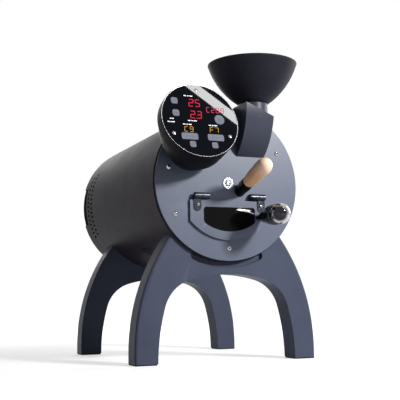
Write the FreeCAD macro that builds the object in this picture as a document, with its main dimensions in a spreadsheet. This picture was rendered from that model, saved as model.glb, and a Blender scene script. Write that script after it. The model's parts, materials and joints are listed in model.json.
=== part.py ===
"""Home coffee bean roaster: a drum turning inside a barrel on two arched legs, as a FreeCAD 1.1 model.

Row frame, in millimetres: +Z up, the faceplate looks along -Y, X to the right of someone facing it.
The origin is on the table under the middle of the machine.

Most pieces are drawn in the front frame: x to the right, y up, z out of the faceplate towards the user,
with its origin in the middle of the faceplate's front.  Depths inside the barrel are therefore negative z.
"""
import FreeCAD
import Part
import math
import os
import Sketcher

from FreeCAD import Placement, Rotation, Vector

DOC = FreeCAD.newDocument("bean_roaster")
SHEET = DOC.addObject("Spreadsheet::Sheet", "Sheet")
NODES = []

SIZES = {
    "fits": {
        "fit": 0.1,                # pieces put together and left
        "play": 0.3,               # pieces that move past each other
        "run": 0.05,               # shaft in its bore, on the radius
        "over": 2.0,               # how far a cutting tool runs past a face
    },
    "whole machine": {
        "axis_z": 308.4,           # barrel axis above the table
        "face_y": -182.3,          # faceplate's front from the middle of the length
    },
    "faceplate": {
        "plate_r": 135.0,
        "plate_thick": 8.0,
        "screw_ring": 113.5,
        "screw_turn_a": 30.6,
        "screw_turn_b": 90.0,
        "screw_turn_c": 167.5,
        "screw_turn_d": 209.3,
        "screw_turn_e": 270.0,
        "screw_turn_f": 329.4,
        "head_r": 4.2,
        "head_high": 2.4,
        "shank_r": 2.0,
        "shank_long": 14.0,
        "axle_head_r": 5.4,
        "axle_head_high": 3.6,
        "washer_r": 9.8,
        "washer_high": 2.0,
        "drop_side": 58.0,         # bean drop opening, half its width
        "drop_top": 43.0,
        "drop_arc": 89.0,
        "feed_left": 24.0,         # bean feed opening behind the chute
        "feed_right": 60.0,
        "feed_low": 52.0,
        "feed_high": 72.0,
    },
    "barrel": {
        "barrel_set": 6.0,         # front edge behind the faceplate's front
        "barrel_fit": 0.35,
        "barrel_wall": 1.8,
        "barrel_end": 458.0,
        "vent_long": 11.0,
        "vent_wide": 4.0,
        "vent_pitch": 3.9,
        "vent_count": 15,
        "vent_at": 387.0,
        "vent_row": 22.0,
        "notch_long": 27.0,        # side notches that show the cover's rim, in from the rear edge
        "notch_half": 16.5,
        "grille_at": 142.0,
        "grille_pitch": 7.5,
        "grille_count": 9,
        "grille_wide": 3.2,
        "grille_turn": 143.0,
        "grille_span": 9.0,
    },
    "legs": {
        "leg_thick": 40.3,
        "leg_front": 8.6,
        "leg_rear": 344.7,
        "stance": 340.0,
        "foot_wide": 40.5,
        "pad_thick": 2.0,
        "pad_inset": 1.5,
        "leg_straight": 20.0,
        "leg_outer_r": 335.0,
        "leg_inner_r": 350.0,
        "arch_top": 151.0,
        "arch_r": 260.0,
        "shoulder_r": 65.0,
        "leg_round": 5.0,
        "pocket_reach": 10.0,      # pocket under the faceplate, out from the barrel
        "pocket_deep": 7.0,
        "pocket_from": -119.0,
        "pocket_span": 58.0,
        "pocket_round": 8.0,
        "leg_screw_r": 3.0,
        "leg_screw_turn": 25.0,
        "leg_screw_long": 14.0,
        "leg_head_r": 5.5,
        "leg_head_high": 3.2,
    },
    "inner frame": {
        "bulkhead_at": 262.0,
        "bulkhead_thick": 3.0,
        "rod_r": 4.0,
        "rear_rod_ring": 122.0,
        "rear_rod_turn": 30.0,
        "cover_recess": 34.0,      # rear cover's inner face, in from the barrel's rear edge
        "cover_thick": 2.0,
        "cover_rim": 2.0,          # wall of the rim that runs back to the barrel's rear edge
        "air_hole_r": 28.0,
        "air_hole_up": 65.0,
    },
    "drum": {
        "drum_r": 97.0,
        "drum_wall": 2.5,
        "drum_front": 14.0,
        "drum_back": 252.0,
        "vane_high": 20.0,
        "vane_thick": 2.5,
        "vane_front": 20.0,
        "vane_count": 4,
        "spider_at": 92.0,
        "spider_thick": 6.0,
        "spoke_wide": 8.0,
        "spoke_count": 3,
        "hub_r": 14.0,
        "back_thick": 2.5,
        "back_hole_r": 3.0,
        "back_hole_count": 16,
        "back_ring_a": 42.0,
        "back_ring_b": 60.0,
        "back_ring_c": 78.0,
        "shaft_r": 6.0,
        "shaft_end": 278.0,
        "axle_flange_r": 11.0,
        "axle_flange_thick": 3.0,
        "bearing_r": 16.0,
        "bearing_flange_r": 20.0,
        "bearing_flange_thick": 2.0,
    },
    "drum drive": {
        "gear_teeth": 42,
        "pinion_teeth": 14,
        "gear_module": 1.5,
        "gear_wide": 8.0,
        "gear_at": 268.0,
        "gear_hub_r": 12.0,
        "tooth_play": 0.16,
        "motor_r": 24.0,
        "motor_long": 62.0,
        "motor_shaft_r": 3.0,
        "bracket_at": 280.0,
        "bracket_thick": 2.5,
        "bracket_half": 40.0,
        "bracket_post_r": 4.0,
        "bracket_high": 27.0,
    },
    "heating": {
        "sleeve_r": 100.0,
        "sleeve_wall": 2.5,
        "coil_wire_r": 2.0,
        "coil_turns": 9,
        "coil_at": 44.0,
        "coil_pitch": 21.0,
        "sensor_x": -55.0,
        "sensor_drop": 10.0,
        "sensor_r": 7.0,
        "sensor_long": 12.0,
        "sensor_lens_r": 3.5,
    },
    "exhaust": {
        "duct_up": 58.0,
        "duct_r": 50.0,
        "duct_wall": 1.5,          # at the collar
        "duct_sheet": 0.9,         # ahead of the collar
        "collar_long": 46.0,       # hose seat, all of it behind the rear cover
        "duct_at": 300.0,
        "duct_past": 18.0,         # how far the collar stands out of the barrel
        "hood_neck": 15.0,
        "fan_at": 308.0,
        "fan_wide": 20.0,
        "fan_r": 45.0,
        "fan_hub_r": 14.0,
        "fan_blades": 7,
        "blade_thick": 1.6,
        "blade_turn": 38.0,
        "fan_shaft_r": 2.5,
        "fan_motor_r": 20.0,
        "fan_motor_at": 331.0,
        "fan_motor_long": 24.0,
        "strut_wide": 6.0,
        "strut_count": 3,
        "basket_long": 86.0,
        "basket_in": 24.0,         # sieve bottom, in from the collar's end
        "basket_wall": 1.2,
        "basket_fit": 0.5,
        "basket_hole_r": 2.2,
        "basket_rings": 5,
        "basket_ring": 8.0,
        "grip_half": 22.0,
        "grip_out": 20.0,
        "grip_r": 2.5,
    },
    "electrics": {
        "tray_drop": 96.0,
        "tray_half": 78.0,
        "tray_thick": 1.5,
        "board_gap": 8.0,
        "board_thick": 1.6,
        "board_half": 68.0,
        "board_at": 292.0,
        "board_long": 110.0,
        "standoff_r": 3.0,
        "standoff_in": 8.0,
        "sink_half": 30.0,
        "sink_long": 60.0,
        "sink_high": 12.0,
        "sink_fins": 7,
        "cap_r": 8.0,
        "cap_high": 14.0,
        "cooler_x": -55.0,
        "cooler_drop": 55.0,
        "cooler_half": 25.0,
        "cooler_deep": 15.0,
        "cooler_bore": 23.5,
        "cooler_hub_r": 10.0,
        "cooler_fan_r": 22.5,
        "cooler_shaft_r": 1.5,
        "cooler_blades": 7,
        "inlet_x": 58.0,
        "inlet_drop": 62.0,
        "inlet_half": 13.7,
        "inlet_half_high": 10.0,
        "inlet_deep": 24.0,
        "inlet_flange": 4.0,
        "inlet_well": 17.0,
        "switch_x": 58.0,
        "switch_drop": 26.0,
        "switch_half": 10.5,
        "switch_half_wide": 6.5,
        "switch_turn": 8.0,
        "switch_deep": 14.0,
    },
    "bean door": {
        "door_side": 74.0,
        "door_top": 30.5,
        "door_arc": 99.5,
        "door_gap": 0.5,
        "door_thick": 4.5,
        "window_side": 49.0,
        "window_top": 42.2,
        "window_arc": 84.5,
        "glass_land": 3.0,
        "glass_thick": 3.0,
        "hinge_drop": 23.6,
        "hinge_out": 8.0,
        "knuckle_r": 5.4,
        "leaf_in": 53.6,
        "leaf_out": 67.6,
        "bracket_in": 39.4,
        "pin_r": 1.5,
        "leaf_low": 49.6,
        "leaf_thick": 2.0,
        "leaf_screw_x": 60.3,
        "leaf_screw_drop": 39.4,
        "leaf_screw_r": 3.4,
        "leaf_screw_high": 1.6,
        "knob_x": 56.0,
        "knob_drop": 59.2,
        "knob_root_r": 6.5,
        "knob_root": 12.0,
        "knob_neck_r": 8.6,
        "knob_neck": 19.0,
        "knob_cup_r": 18.2,
        "knob_cup": 62.0,
        "knob_lip": 74.0,
        "knob_lip_r": 17.2,
        "ball_r": 18.0,
        "ball_at": 84.0,
        "stud_r": 2.5,
        "stud_long": 14.0,
    },
    "trier": {
        "trier_x": 23.0,
        "trier_drop": 11.5,
        "trier_tilt": 17.2,
        "socket_r": 10.3,
        "socket_collar_r": 11.0,
        "socket_step": 18.5,       # where the socket's wider collar begins
        "socket_out": 33.2,
        "socket_in": 13.0,
        "socket_flange_r": 15.0,
        "socket_flange_thick": 3.0,
        "sleeve_bore": 7.55,
        "turn_sleeve_r": 9.0,
        "turn_lip": 1.2,
        "scoop_back": 74.0,
        "scoop_wall": 1.2,
        "scoop_open_from": 18.0,
        "handle_at": 36.5,
        "handle_end": 116.0,
        "handle_root_r": 10.8,
        "handle_mid": 58.0,
        "handle_mid_r": 12.7,
        "handle_full": 96.0,
        "handle_full_r": 14.2,
    },
    "chute": {
        "chute_left": 17.5,
        "chute_right": 71.0,
        "chute_low": 49.0,
        "chute_top": 138.0,        # at its left side
        "chute_fall": 22.4,        # the top slopes down to the right
        "chute_arc": 109.0,
        "chute_arc_up": 137.4,
        "chute_arc_back": 63.4,
        "chute_wall": 2.8,
        "chute_back_wall": 2.2,
        "chute_roof": 113.0,
        "collar_r": 25.7,
        "collar_top": 139.6,
    },
    "funnel": {
        "funnel_x": 43.4,
        "funnel_out": 17.5,
        "spigot_r": 15.5,
        "spigot_wall": 2.0,
        "spigot_long": 24.0,
        "funnel_wall": 2.2,
        "rim_r": 79.0,
        "bowl_high": 71.7,
        "bowl_mid_r": 54.0,
        "bowl_mid_high": 25.4,
    },
    "display": {
        "display_x": -80.4,
        "display_out": 70.0,
        "display_up": 94.0,
        "display_tilt": 17.8,
        "display_r": 68.5,
        "case_deep": 19.0,
        "case_bulge": 4.0,
        "case_foot_x": -69.4,
        "case_foot_up": 66.1,
        "case_foot_r": 46.5,
        "bezel_wide": 1.8,
        "bezel_high": 3.0,
        "glass_disc_thick": 2.0,
        "glass_lip": 2.4,
        "disc_screw_ring": 57.0,
        "disc_screw_turn": 29.0,
        "disc_screw_r": 3.2,
        "disc_screw_high": 1.2,
        "disc_screw_long": 13.0,
        "board_back": 8.0,
        "display_board_r": 51.5,
        "display_board_thick": 1.6,
        "button_travel": 0.8,
        "button_proud": 1.0,
        "button_fit": 0.35,
        "time_key_x": -42.0,
        "time_key_half": 6.0,
        "up_key_y": 33.2,
        "down_key_y": 10.1,
        "start_key_x": 34.7,
        "start_key_y": 2.6,
        "start_key_r": 9.0,
        "rocker_x": 23.1,
        "rocker_y": -32.2,
        "rocker_half": 14.6,
        "rocker_half_high": 6.0,
        "mode_key_x": 19.5,
        "mode_key_y": -46.5,
        "mode_key_half": 5.4,
        "digit_deep": 3.6,
        "red_digit_x": -6.5,
        "red_digit_half": 11.0,
        "red_digit_high_y": 31.7,
        "red_digit_low_y": 9.4,
        "red_digit_half_high": 8.0,
        "side_digit_x": 29.3,
        "side_digit_half": 17.0,
        "side_digit_y": 20.5,
        "side_digit_half_high": 6.0,
        "amber_digit_x": 22.6,
        "amber_digit_half": 9.6,
        "amber_digit_y": -18.2,
        "amber_digit_half_high": 5.4,
    },
}


class Dim:
    """A length, angle or count: its number now, and the sheet formula that FreeCAD keeps it by."""

    def __init__(self, number, formula):
        self.number = float(number)
        self.formula = formula

    def __add__(self, other):
        other = dim(other)
        return Dim(self.number + other.number, f"({self.formula} + {other.formula})")

    def __sub__(self, other):
        other = dim(other)
        return Dim(self.number - other.number, f"({self.formula} - {other.formula})")

    def __mul__(self, other):
        other = dim(other)
        return Dim(self.number * other.number, f"({self.formula} * {other.formula})")

    def __truediv__(self, other):
        other = dim(other)
        return Dim(self.number / other.number, f"({self.formula} / {other.formula})")

    def __neg__(self):
        return Dim(-self.number, f"(0 - {self.formula})")

    __radd__ = __add__
    __rmul__ = __mul__

    def __rsub__(self, other):
        return dim(other) - self

    def __rtruediv__(self, other):
        return dim(other) / self

    def __float__(self):
        return self.number

    def __int__(self):
        return int(round(self.number))


def dim(thing):
    """A plain number as a Dim; a Dim as it is."""
    return thing if isinstance(thing, Dim) else Dim(thing, repr(float(thing)))


def sine(angle):
    angle = dim(angle)
    return Dim(math.sin(math.radians(angle.number)), f"sin({angle.formula} * 1deg)")


def cosine(angle):
    angle = dim(angle)
    return Dim(math.cos(math.radians(angle.number)), f"cos({angle.formula} * 1deg)")


class Sizes:
    """The driving dimensions, read back from the sheet by name."""


def fill_sheet():
    """Write every driving dimension into the sheet under its alias, and read them back."""
    sizes = Sizes()
    row = 1
    for title, values in SIZES.items():
        SHEET.set(f"A{row}", title)
        row += 1
        for name, value in values.items():
            SHEET.set(f"A{row}", name)
            SHEET.set(f"B{row}", repr(value))
            SHEET.setAlias(f"B{row}", name)
            row += 1
    DOC.recompute()
    for values in SIZES.values():
        for name in values:
            setattr(sizes, name, Dim(SHEET.get(name), f"Sheet.{name}"))
    return sizes


s = fill_sheet()

AXIS_X = Vector(1, 0, 0)
AXIS_Y = Vector(0, 1, 0)
AXIS_Z = Vector(0, 0, 1)
ALONG_X = (AXIS_Y, dim(90))
ALONG_Y = (AXIS_X, dim(-90))


class Frame:
    """Where a piece's own axes stand in the row frame: an origin, and a turn about X."""

    def __init__(self, x, y, z, turn):
        self.origin = [dim(x), dim(y), dim(z)]
        self.turn = dim(turn)

    def placement(self):
        """The same frame as a fixed placement, for shapes made by Part's own functions."""
        return Placement(Vector(*map(float, self.origin)), Rotation(AXIS_X, float(self.turn)))


cover_at = s.barrel_end - s.cover_recess
duct_end = s.barrel_end + s.duct_past
duct_run_r = s.duct_r - s.duct_wall + s.duct_sheet
basket_end = duct_end - s.basket_in
basket_at = basket_end - s.basket_long

FRONT = Frame(0, s.face_y, s.axis_z, 90)
KNOB = Frame(s.knob_x, s.face_y, s.axis_z - s.knob_drop, 90)
TRIER = Frame(s.trier_x, s.face_y, s.axis_z - s.trier_drop, 90 - s.trier_tilt)
FUNNEL = Frame(s.funnel_x, s.face_y - s.funnel_out, s.axis_z + s.collar_top + s.play, 0)
GLASS = Frame(s.display_x, s.face_y - s.display_out, s.axis_z + s.display_up, 90 - s.display_tilt)
DUCT = Frame(0, s.face_y, s.axis_z + s.duct_up, 90)
COOLER = Frame(s.cooler_x, s.face_y, s.axis_z - s.cooler_drop, 90)
SWITCH = Frame(s.switch_x, s.face_y + cover_at + s.cover_thick, s.axis_z - s.switch_drop, 90)


# ---------------------------------------------------------------- building blocks

def bind(obj, path, size):
    obj.setExpression(path, dim(size).formula)


def primitive(kind, at, turn, **sizes):
    """A Part primitive whose place, turn and sizes follow the sheet."""
    obj = DOC.addObject("Part::" + kind, kind)
    axis, angle = turn
    obj.Placement = Placement(Vector(), Rotation(axis, 90))
    for name, size in zip("xyz", at):
        bind(obj, ".Placement.Base." + name, size)
    bind(obj, ".Placement.Rotation.Angle", angle)
    for name, size in sizes.items():
        bind(obj, name, size)
    return obj


def cylinder(radius, height, at=(0, 0, 0), turn=(AXIS_Z, 0)):
    return primitive("Cylinder", at, turn, Radius=radius, Height=height)


def cone(radius_low, radius_high, height, at=(0, 0, 0), turn=(AXIS_Z, 0)):
    return primitive("Cone", at, turn, Radius1=radius_low, Radius2=radius_high, Height=height)


def sphere(radius, at=(0, 0, 0)):
    return primitive("Sphere", at, (AXIS_Z, 0), Radius=radius)


def box(size_x, size_y, size_z, at, turn=(AXIS_Z, 0)):
    """A box from its lowest corner."""
    return primitive("Box", at, turn, Length=size_x, Width=size_y, Height=size_z)


def centred_box(half_x, half_y, size_z, at):
    """A box about the middle of its bottom face."""
    x, y, z = at
    return box(2 * dim(half_x), 2 * dim(half_y), size_z, (dim(x) - half_x, dim(y) - half_y, z))


def group(*parts):
    """Separate solids kept side by side."""
    obj = DOC.addObject("Part::Compound", "Compound")
    obj.Links = list(parts)
    return obj


def fuse(*parts):
    if len(parts) == 1:
        return parts[0]
    obj = DOC.addObject("Part::MultiFuse", "Fusion")
    obj.Shapes = list(parts)
    obj.Refine = True
    return obj


def cut(base, *tools):
    obj = DOC.addObject("Part::Cut", "Cut")
    obj.Base = base
    obj.Tool = fuse(*tools)
    return obj


def common(*parts):
    obj = DOC.addObject("Part::MultiCommon", "Common")
    obj.Shapes = list(parts)
    return obj


def tube(radius, bore, height, at=(0, 0, 0), turn=(AXIS_Z, 0)):
    """A ring or pipe, its bore cut right through."""
    return cut(cylinder(radius, height, at, turn), cylinder(bore, height, at, turn))


def around(radius, angle, x=0, y=0):
    """The point at an angle, in degrees, on a circle in the frame's own plane."""
    return dim(x) + radius * cosine(angle), dim(y) + radius * sine(angle)


def node(label, obj, frame=FRONT):
    """Finish a sub-part: wrap it so that its frame can be set, name it and stand it in its place."""
    piece = group(obj)
    piece.Label = label
    piece.Placement = Placement(Vector(), Rotation(AXIS_X, 90))
    for name, size in zip("xyz", frame.origin):
        bind(piece, ".Placement.Base." + name, size)
    bind(piece, ".Placement.Rotation.Angle", frame.turn)
    NODES.append(piece)


def shape_node(label, shape, frame=FRONT):
    """A sub-part whose outline needs Part's own functions."""
    piece = DOC.addObject("Part::Feature", label)
    piece.Label = label
    piece.Shape = shape
    piece.Placement = frame.placement().multiply(shape.Placement)
    NODES.append(piece)


def turned(label, frame, corners, curved=None, **curve):
    """A PartDesign body turned about the frame's z axis.

    corners are (radius, height) pairs in order, each held to the sheet.  curved is the number of the one
    edge that is an arc, with its radius in curve["radius"] and its middle in curve["middle"].
    """
    body = DOC.addObject("PartDesign::Body", label)
    body.Label = label
    sketch = body.newObject("Sketcher::SketchObject", label + "_profile")
    plane = next(f for f in body.Origin.OriginFeatures if f.Role == "XZ_Plane")
    sketch.AttachmentSupport = [(plane, "")]
    sketch.MapMode = "FlatFace"
    points = [Vector(float(x), float(y), 0) for x, y in corners]
    ends = []
    for number, start in enumerate(points):
        end = points[(number + 1) % len(points)]
        if number == curved:
            index = sketch.addGeometry(arc_through(start, Vector(*map(float, curve["middle"]), 0), end))
            made = sketch.Geometry[index]
            forwards = made.StartPoint.distanceToPoint(start) < made.EndPoint.distanceToPoint(start)
            ends.append((index, 1, 2) if forwards else (index, 2, 1))
            sketch.addConstraint(Sketcher.Constraint("Radius", index, made.Radius))
            bind(sketch, f"Constraints[{sketch.ConstraintCount - 1}]", curve["radius"])
        else:
            ends.append((sketch.addGeometry(Part.LineSegment(start, end)), 1, 2))
    for number, (index, first, last) in enumerate(ends):
        following, start, _ = ends[(number + 1) % len(ends)]
        sketch.addConstraint(Sketcher.Constraint("Coincident", index, last, following, start))
    for (x, y), (index, first, last) in zip(corners, ends):
        for kind, size in (("DistanceX", x), ("DistanceY", y)):
            sketch.addConstraint(Sketcher.Constraint(kind, -1, 1, index, first, float(size)))
            bind(sketch, f"Constraints[{sketch.ConstraintCount - 1}]", size)
    revolution = body.newObject("PartDesign::Revolution", label + "_turned")
    revolution.Profile = sketch
    revolution.ReferenceAxis = (sketch, ["V_Axis"])
    revolution.Angle = 360
    body.Placement = Placement(Vector(), Rotation(AXIS_X, 90))
    for name, size in zip("xyz", frame.origin):
        bind(body, ".Placement.Base." + name, size)
    bind(body, ".Placement.Rotation.Angle", frame.turn)
    NODES.append(body)


def arc_through(start, middle, end):
    """An arc of circle for a sketch, counter-clockwise as sketches want it, through three points."""
    circle = Part.Circle(start, middle, end)
    turns = sorted(math.atan2(p.y - circle.Center.y, p.x - circle.Center.x) for p in (start, end))
    return Part.ArcOfCircle(Part.Circle(circle.Center, AXIS_Z, circle.Radius), *turns)


def screw(x, y, face, head_r, head_high, shank_r, shank_long):
    """A round-headed screw driven in along -z, its head on the plane z = face."""
    return fuse(cylinder(head_r, head_high, (x, y, face)),
                cylinder(shank_r, shank_long + s.over, (x, y, face - shank_long)))


# ---------------------------------------------------------------- shared places

barrel_bore = s.plate_r + s.barrel_fit
barrel_r = barrel_bore + s.barrel_wall
SCREW_TURNS = [s.screw_turn_a, s.screw_turn_b, s.screw_turn_c, s.screw_turn_d, s.screw_turn_e, s.screw_turn_f]
REAR_TURNS = [s.rear_rod_turn, 180 - s.rear_rod_turn, 180 + s.rear_rod_turn, 360 - s.rear_rod_turn]
bulkhead_rear = s.bulkhead_at + s.bulkhead_thick
cover_rear = cover_at + s.cover_thick
tilt_sine = sine(s.trier_tilt)
tilt_cosine = cosine(s.trier_tilt)
gear_distance = s.gear_module * (s.gear_teeth + s.pinion_teeth) / 2
pinion_drop = gear_distance
tray_top = s.tray_drop - s.tray_thick


def trier_rod(radius, back, front):
    """A cylinder along the trier's axis, drawn in the front frame, from behind the plate to before it."""
    at = (s.trier_x, -s.trier_drop - back * tilt_sine, -(back * tilt_cosine))
    return cylinder(radius, back + front, at, (AXIS_X, -s.trier_tilt))


def sector(side, top, arc, deep, z):
    """A plate with straight sides and top whose bottom edge follows a circle about the faceplate's middle."""
    return common(box(2 * side, arc - top, deep, (-side, -arc, z)), cylinder(arc, deep, (0, 0, z)))


# ---------------------------------------------------------------- casing

def make_faceplate():
    behind = -(s.plate_thick + s.over)
    through = s.plate_thick + 2 * s.over
    holes = [sector(s.drop_side, s.drop_top, s.drop_arc, through, behind)]
    holes.append(box(s.feed_right - s.feed_left, s.feed_high - s.feed_low, through,
                     (s.feed_left, s.feed_low, behind)))
    holes.append(trier_rod(s.socket_r + s.fit, s.socket_in + s.over, s.socket_out))
    holes.append(cylinder(s.shaft_r + s.fit, through, (0, 0, behind)))
    for angle in SCREW_TURNS:
        holes.append(cylinder(s.shank_r + s.fit, through, (*around(s.screw_ring, angle), behind)))
    plate = cylinder(s.plate_r, s.plate_thick, (0, 0, -s.plate_thick))
    node("faceplate", cut(plate, *holes))


def make_casing_screws():
    """Round-headed screws: six hold the faceplate to the front rods, four the cover to the rear rods."""
    screws = []
    for angle in SCREW_TURNS:
        x, y = around(s.screw_ring, angle)
        screws.append(screw(x, y, 0, s.head_r, s.head_high, s.shank_r, s.shank_long))
    for angle in REAR_TURNS:
        x, y = around(s.rear_rod_ring, angle)
        head = cylinder(s.head_r, s.head_high, (x, y, -(cover_rear + s.head_high)))
        shank = cylinder(s.shank_r, s.shank_long + s.over, (x, y, -(cover_rear + s.over)))
        screws.append(fuse(head, shank))
    node("casing_screws", group(*screws))


def make_tie_rods():
    """Six rods from the faceplate to the bulkhead and four from there to the rear cover, tapped for screws."""
    rods = []
    grip = s.shank_long + s.over
    for angle in SCREW_TURNS:
        x, y = around(s.screw_ring, angle)
        rod = cylinder(s.rod_r, s.bulkhead_at - s.plate_thick, (x, y, -s.bulkhead_at))
        rods.append(cut(rod, cylinder(s.shank_r + s.fit, grip, (x, y, -grip))))
    for angle in REAR_TURNS:
        x, y = around(s.rear_rod_ring, angle)
        rod = cylinder(s.rod_r, cover_at - bulkhead_rear, (x, y, -cover_at))
        rods.append(cut(rod, cylinder(s.shank_r + s.fit, grip, (x, y, -cover_rear))))
    node("tie_rods", group(*rods))


def make_barrel_shell():
    """A rolled steel tube with vent slots on both sides, an air grille below and two rear finger notches."""
    long = s.barrel_end - s.barrel_set
    shell = tube(barrel_r, barrel_bore, long, (0, 0, -s.barrel_end))
    holes = []
    reach = barrel_r + s.over
    for side in (0, 180):
        for row in range(2):
            for step in range(int(s.vent_count)):
                angle = side + (step - (s.vent_count - 1) / 2 + row * 0.5 - 0.25) * s.vent_pitch
                holes.append(radial_slot(angle, s.vent_at + row * s.vent_row, s.vent_long, s.vent_wide, reach))
    for side in (-1, 1):
        start = -90 + side * (180 - s.grille_turn) - s.grille_span / 2
        for step in range(int(s.grille_count)):
            place = s.grille_at + step * s.grille_pitch
            ring = primitive("Cylinder", (0, 0, -(place + s.grille_wide)), (AXIS_Z, start),
                             Radius=reach, Height=s.grille_wide, Angle=s.grille_span)
            holes.append(cut(ring, cylinder(barrel_bore - s.over, s.grille_wide,
                                            (0, 0, -(place + s.grille_wide)))))
    for start in (-s.notch_half, 180 - s.notch_half):
        deep = s.notch_long + s.over
        wedge = primitive("Cylinder", (0, 0, -(s.barrel_end + s.over)), (AXIS_Z, start),
                          Radius=reach, Height=deep, Angle=2 * s.notch_half)
        holes.append(cut(wedge, cylinder(barrel_bore - s.over, deep, (0, 0, -(s.barrel_end + s.over)))))
    for leg in (s.leg_front, s.leg_rear):
        for side in (-1, 1):
            angle = -90 + side * s.leg_screw_turn
            holes.append(radial_pin(s.leg_screw_r + s.fit, angle, leg + s.leg_thick / 2,
                                    barrel_bore - s.over, 2 * s.over + s.barrel_wall))
    obj = DOC.addObject("Part::Cut", "Cut")
    obj.Base = shell
    obj.Tool = group(*holes)
    node("barrel_shell", obj)


def radial_slot(angle, place, long, wide, reach):
    """A round-ended slot tool, long along the barrel, that points outwards at an angle."""
    angle = dim(angle)
    inner = barrel_bore - s.over
    x, y = around(inner, angle)
    side_x, side_y = around(wide / 2, angle - 90)
    return primitive("Box", (x + side_x, y + side_y, -(place + long)), (AXIS_Z, angle),
                     Length=reach - inner, Width=wide, Height=long)


def radial_pin(radius, angle, place, start, long):
    """A round tool or pin that points outwards at an angle, centred that far behind the faceplate."""
    x, y = around(start, angle)
    # a cylinder along +X, turned about the barrel's axis
    turn = Rotation(AXIS_Z, float(dim(angle))).multiply(Rotation(AXIS_Y, 90))
    obj = DOC.addObject("Part::Cylinder", "Cylinder")
    obj.Placement = Placement(Vector(), turn)
    for name, size in zip("xyz", (x, y, -place)):
        bind(obj, ".Placement.Base." + name, size)
    bind(obj, "Radius", radius)
    bind(obj, "Height", long)
    return obj


def make_bulkhead():
    """The inner wall behind the drum; it carries the rear bearing, the motor bracket and the duct."""
    wall = cylinder(barrel_bore - s.fit, s.bulkhead_thick, (0, 0, -bulkhead_rear))
    hole_z = -(bulkhead_rear + s.over)
    through = s.bulkhead_thick + 2 * s.over
    holes = [cylinder(s.bearing_r + s.fit, through, (0, 0, hole_z)),
             cylinder(s.air_hole_r, through, (0, s.air_hole_up, hole_z))]
    node("bulkhead", cut(wall, *holes))


def make_rear_cover():
    """A dished black cover: a rim inside the barrel's edge, and openings for duct, fan, inlet and switch."""
    z = -(cover_rear + s.over)
    through = s.cover_thick + 2 * s.over
    disc = cylinder(barrel_bore - s.fit, s.cover_thick, (0, 0, -cover_rear))
    rim = tube(barrel_bore - s.fit, barrel_bore - s.fit - s.cover_rim, s.cover_recess, (0, 0, -s.barrel_end))
    plate = fuse(disc, rim)
    holes = [cylinder(duct_run_r + s.fit, through, (0, s.duct_up, z))]
    holes.append(centred_box(s.inlet_half + s.fit, s.inlet_half_high + s.fit, through,
                             (s.inlet_x, -s.inlet_drop, z)))
    holes.append(centred_box(s.switch_half_wide + 1 + s.fit, s.switch_half + 1 + s.fit, through,
                             (s.switch_x, -s.switch_drop, z)))
    for angle in REAR_TURNS:
        holes.append(cylinder(s.shank_r + s.fit, through, (*around(s.rear_rod_ring, angle), z)))
    bars = 5
    pitch = 2 * s.cooler_bore / (bars + 1)
    for step in range(bars):
        height = -s.cooler_drop - s.cooler_bore + pitch * (step + 1)
        holes.append(centred_box(s.cooler_bore * 0.72, pitch * 0.28, through, (s.cooler_x, height, z)))
    node("rear_cover", cut(plate, *holes))


# ---------------------------------------------------------------- legs

def on_circle(centre, radius, angle):
    return Vector(centre[0] + radius * math.cos(angle), centre[1] + radius * math.sin(angle), 0)


def circles_meet(centre_a, radius_a, centre_b, radius_b):
    """The two points where circles cross, the one on the left of the way from a to b first."""
    dx, dy = centre_b[0] - centre_a[0], centre_b[1] - centre_a[1]
    apart = math.hypot(dx, dy)
    along = (radius_a ** 2 - radius_b ** 2 + apart ** 2) / (2 * apart)
    aside = math.sqrt(radius_a ** 2 - along ** 2)
    foot = (centre_a[0] + along * dx / apart, centre_a[1] + along * dy / apart)
    return ((foot[0] - aside * dy / apart, foot[1] + aside * dx / apart),
            (foot[0] + aside * dy / apart, foot[1] - aside * dx / apart))


def angle_to(centre, point):
    return math.atan2(point[1] - centre[1], point[0] - centre[0])


def arc_edge(centre, radius, start, end):
    middle = (start + end) / 2
    return Part.Arc(on_circle(centre, radius, start), on_circle(centre, radius, middle),
                    on_circle(centre, radius, end)).toShape()


def leg_outline():
    """The closed outline of a leg in the front frame: saddle, splayed outer edges, feet and arch."""
    floor = -float(s.axis_z)
    foot = floor + float(s.pad_thick)
    outer_x = float(s.stance) / 2
    inner_x = outer_x - float(s.foot_wide)
    outer_r, inner_r = float(s.leg_outer_r), float(s.leg_inner_r)
    arch_r, shoulder_r = float(s.arch_r), float(s.shoulder_r)
    saddle_r = float(barrel_r + s.fit)
    outer = (outer_x - outer_r, floor + float(s.leg_straight))
    inner = (inner_x - inner_r, floor)
    arch = (0.0, floor + float(s.arch_top) - arch_r)
    shoulder = max(circles_meet(arch, arch_r - shoulder_r, inner, inner_r - shoulder_r), key=lambda p: p[0])
    crown = max(circles_meet(outer, outer_r, (0.0, 0.0), saddle_r), key=lambda p: p[0])
    crown_turn = angle_to(outer, crown)
    saddle_turn = angle_to((0.0, 0.0), crown)
    top_turn = angle_to(arch, shoulder)
    inner_turn = angle_to(inner, shoulder)
    foot_turn = math.asin((foot - floor) / inner_r)
    edges = [Part.LineSegment(Vector(outer_x, foot, 0), Vector(outer_x, outer[1], 0)).toShape(),
             arc_edge(outer, outer_r, 0.0, crown_turn),
             arc_edge((0.0, 0.0), saddle_r, saddle_turn, -math.pi / 2),
             arc_edge(arch, arch_r, math.pi / 2, top_turn),
             arc_edge(shoulder, shoulder_r, top_turn, inner_turn),
             arc_edge(inner, inner_r, inner_turn, foot_turn)]
    foot_inner = on_circle(inner, inner_r, foot_turn)
    edges.append(Part.LineSegment(foot_inner, Vector(outer_x, foot, 0)).toShape())
    mirror = [edge.mirror(Vector(), AXIS_X) for edge in edges]
    return Part.Wire(Part.__sortEdges__(edges + mirror))


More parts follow.
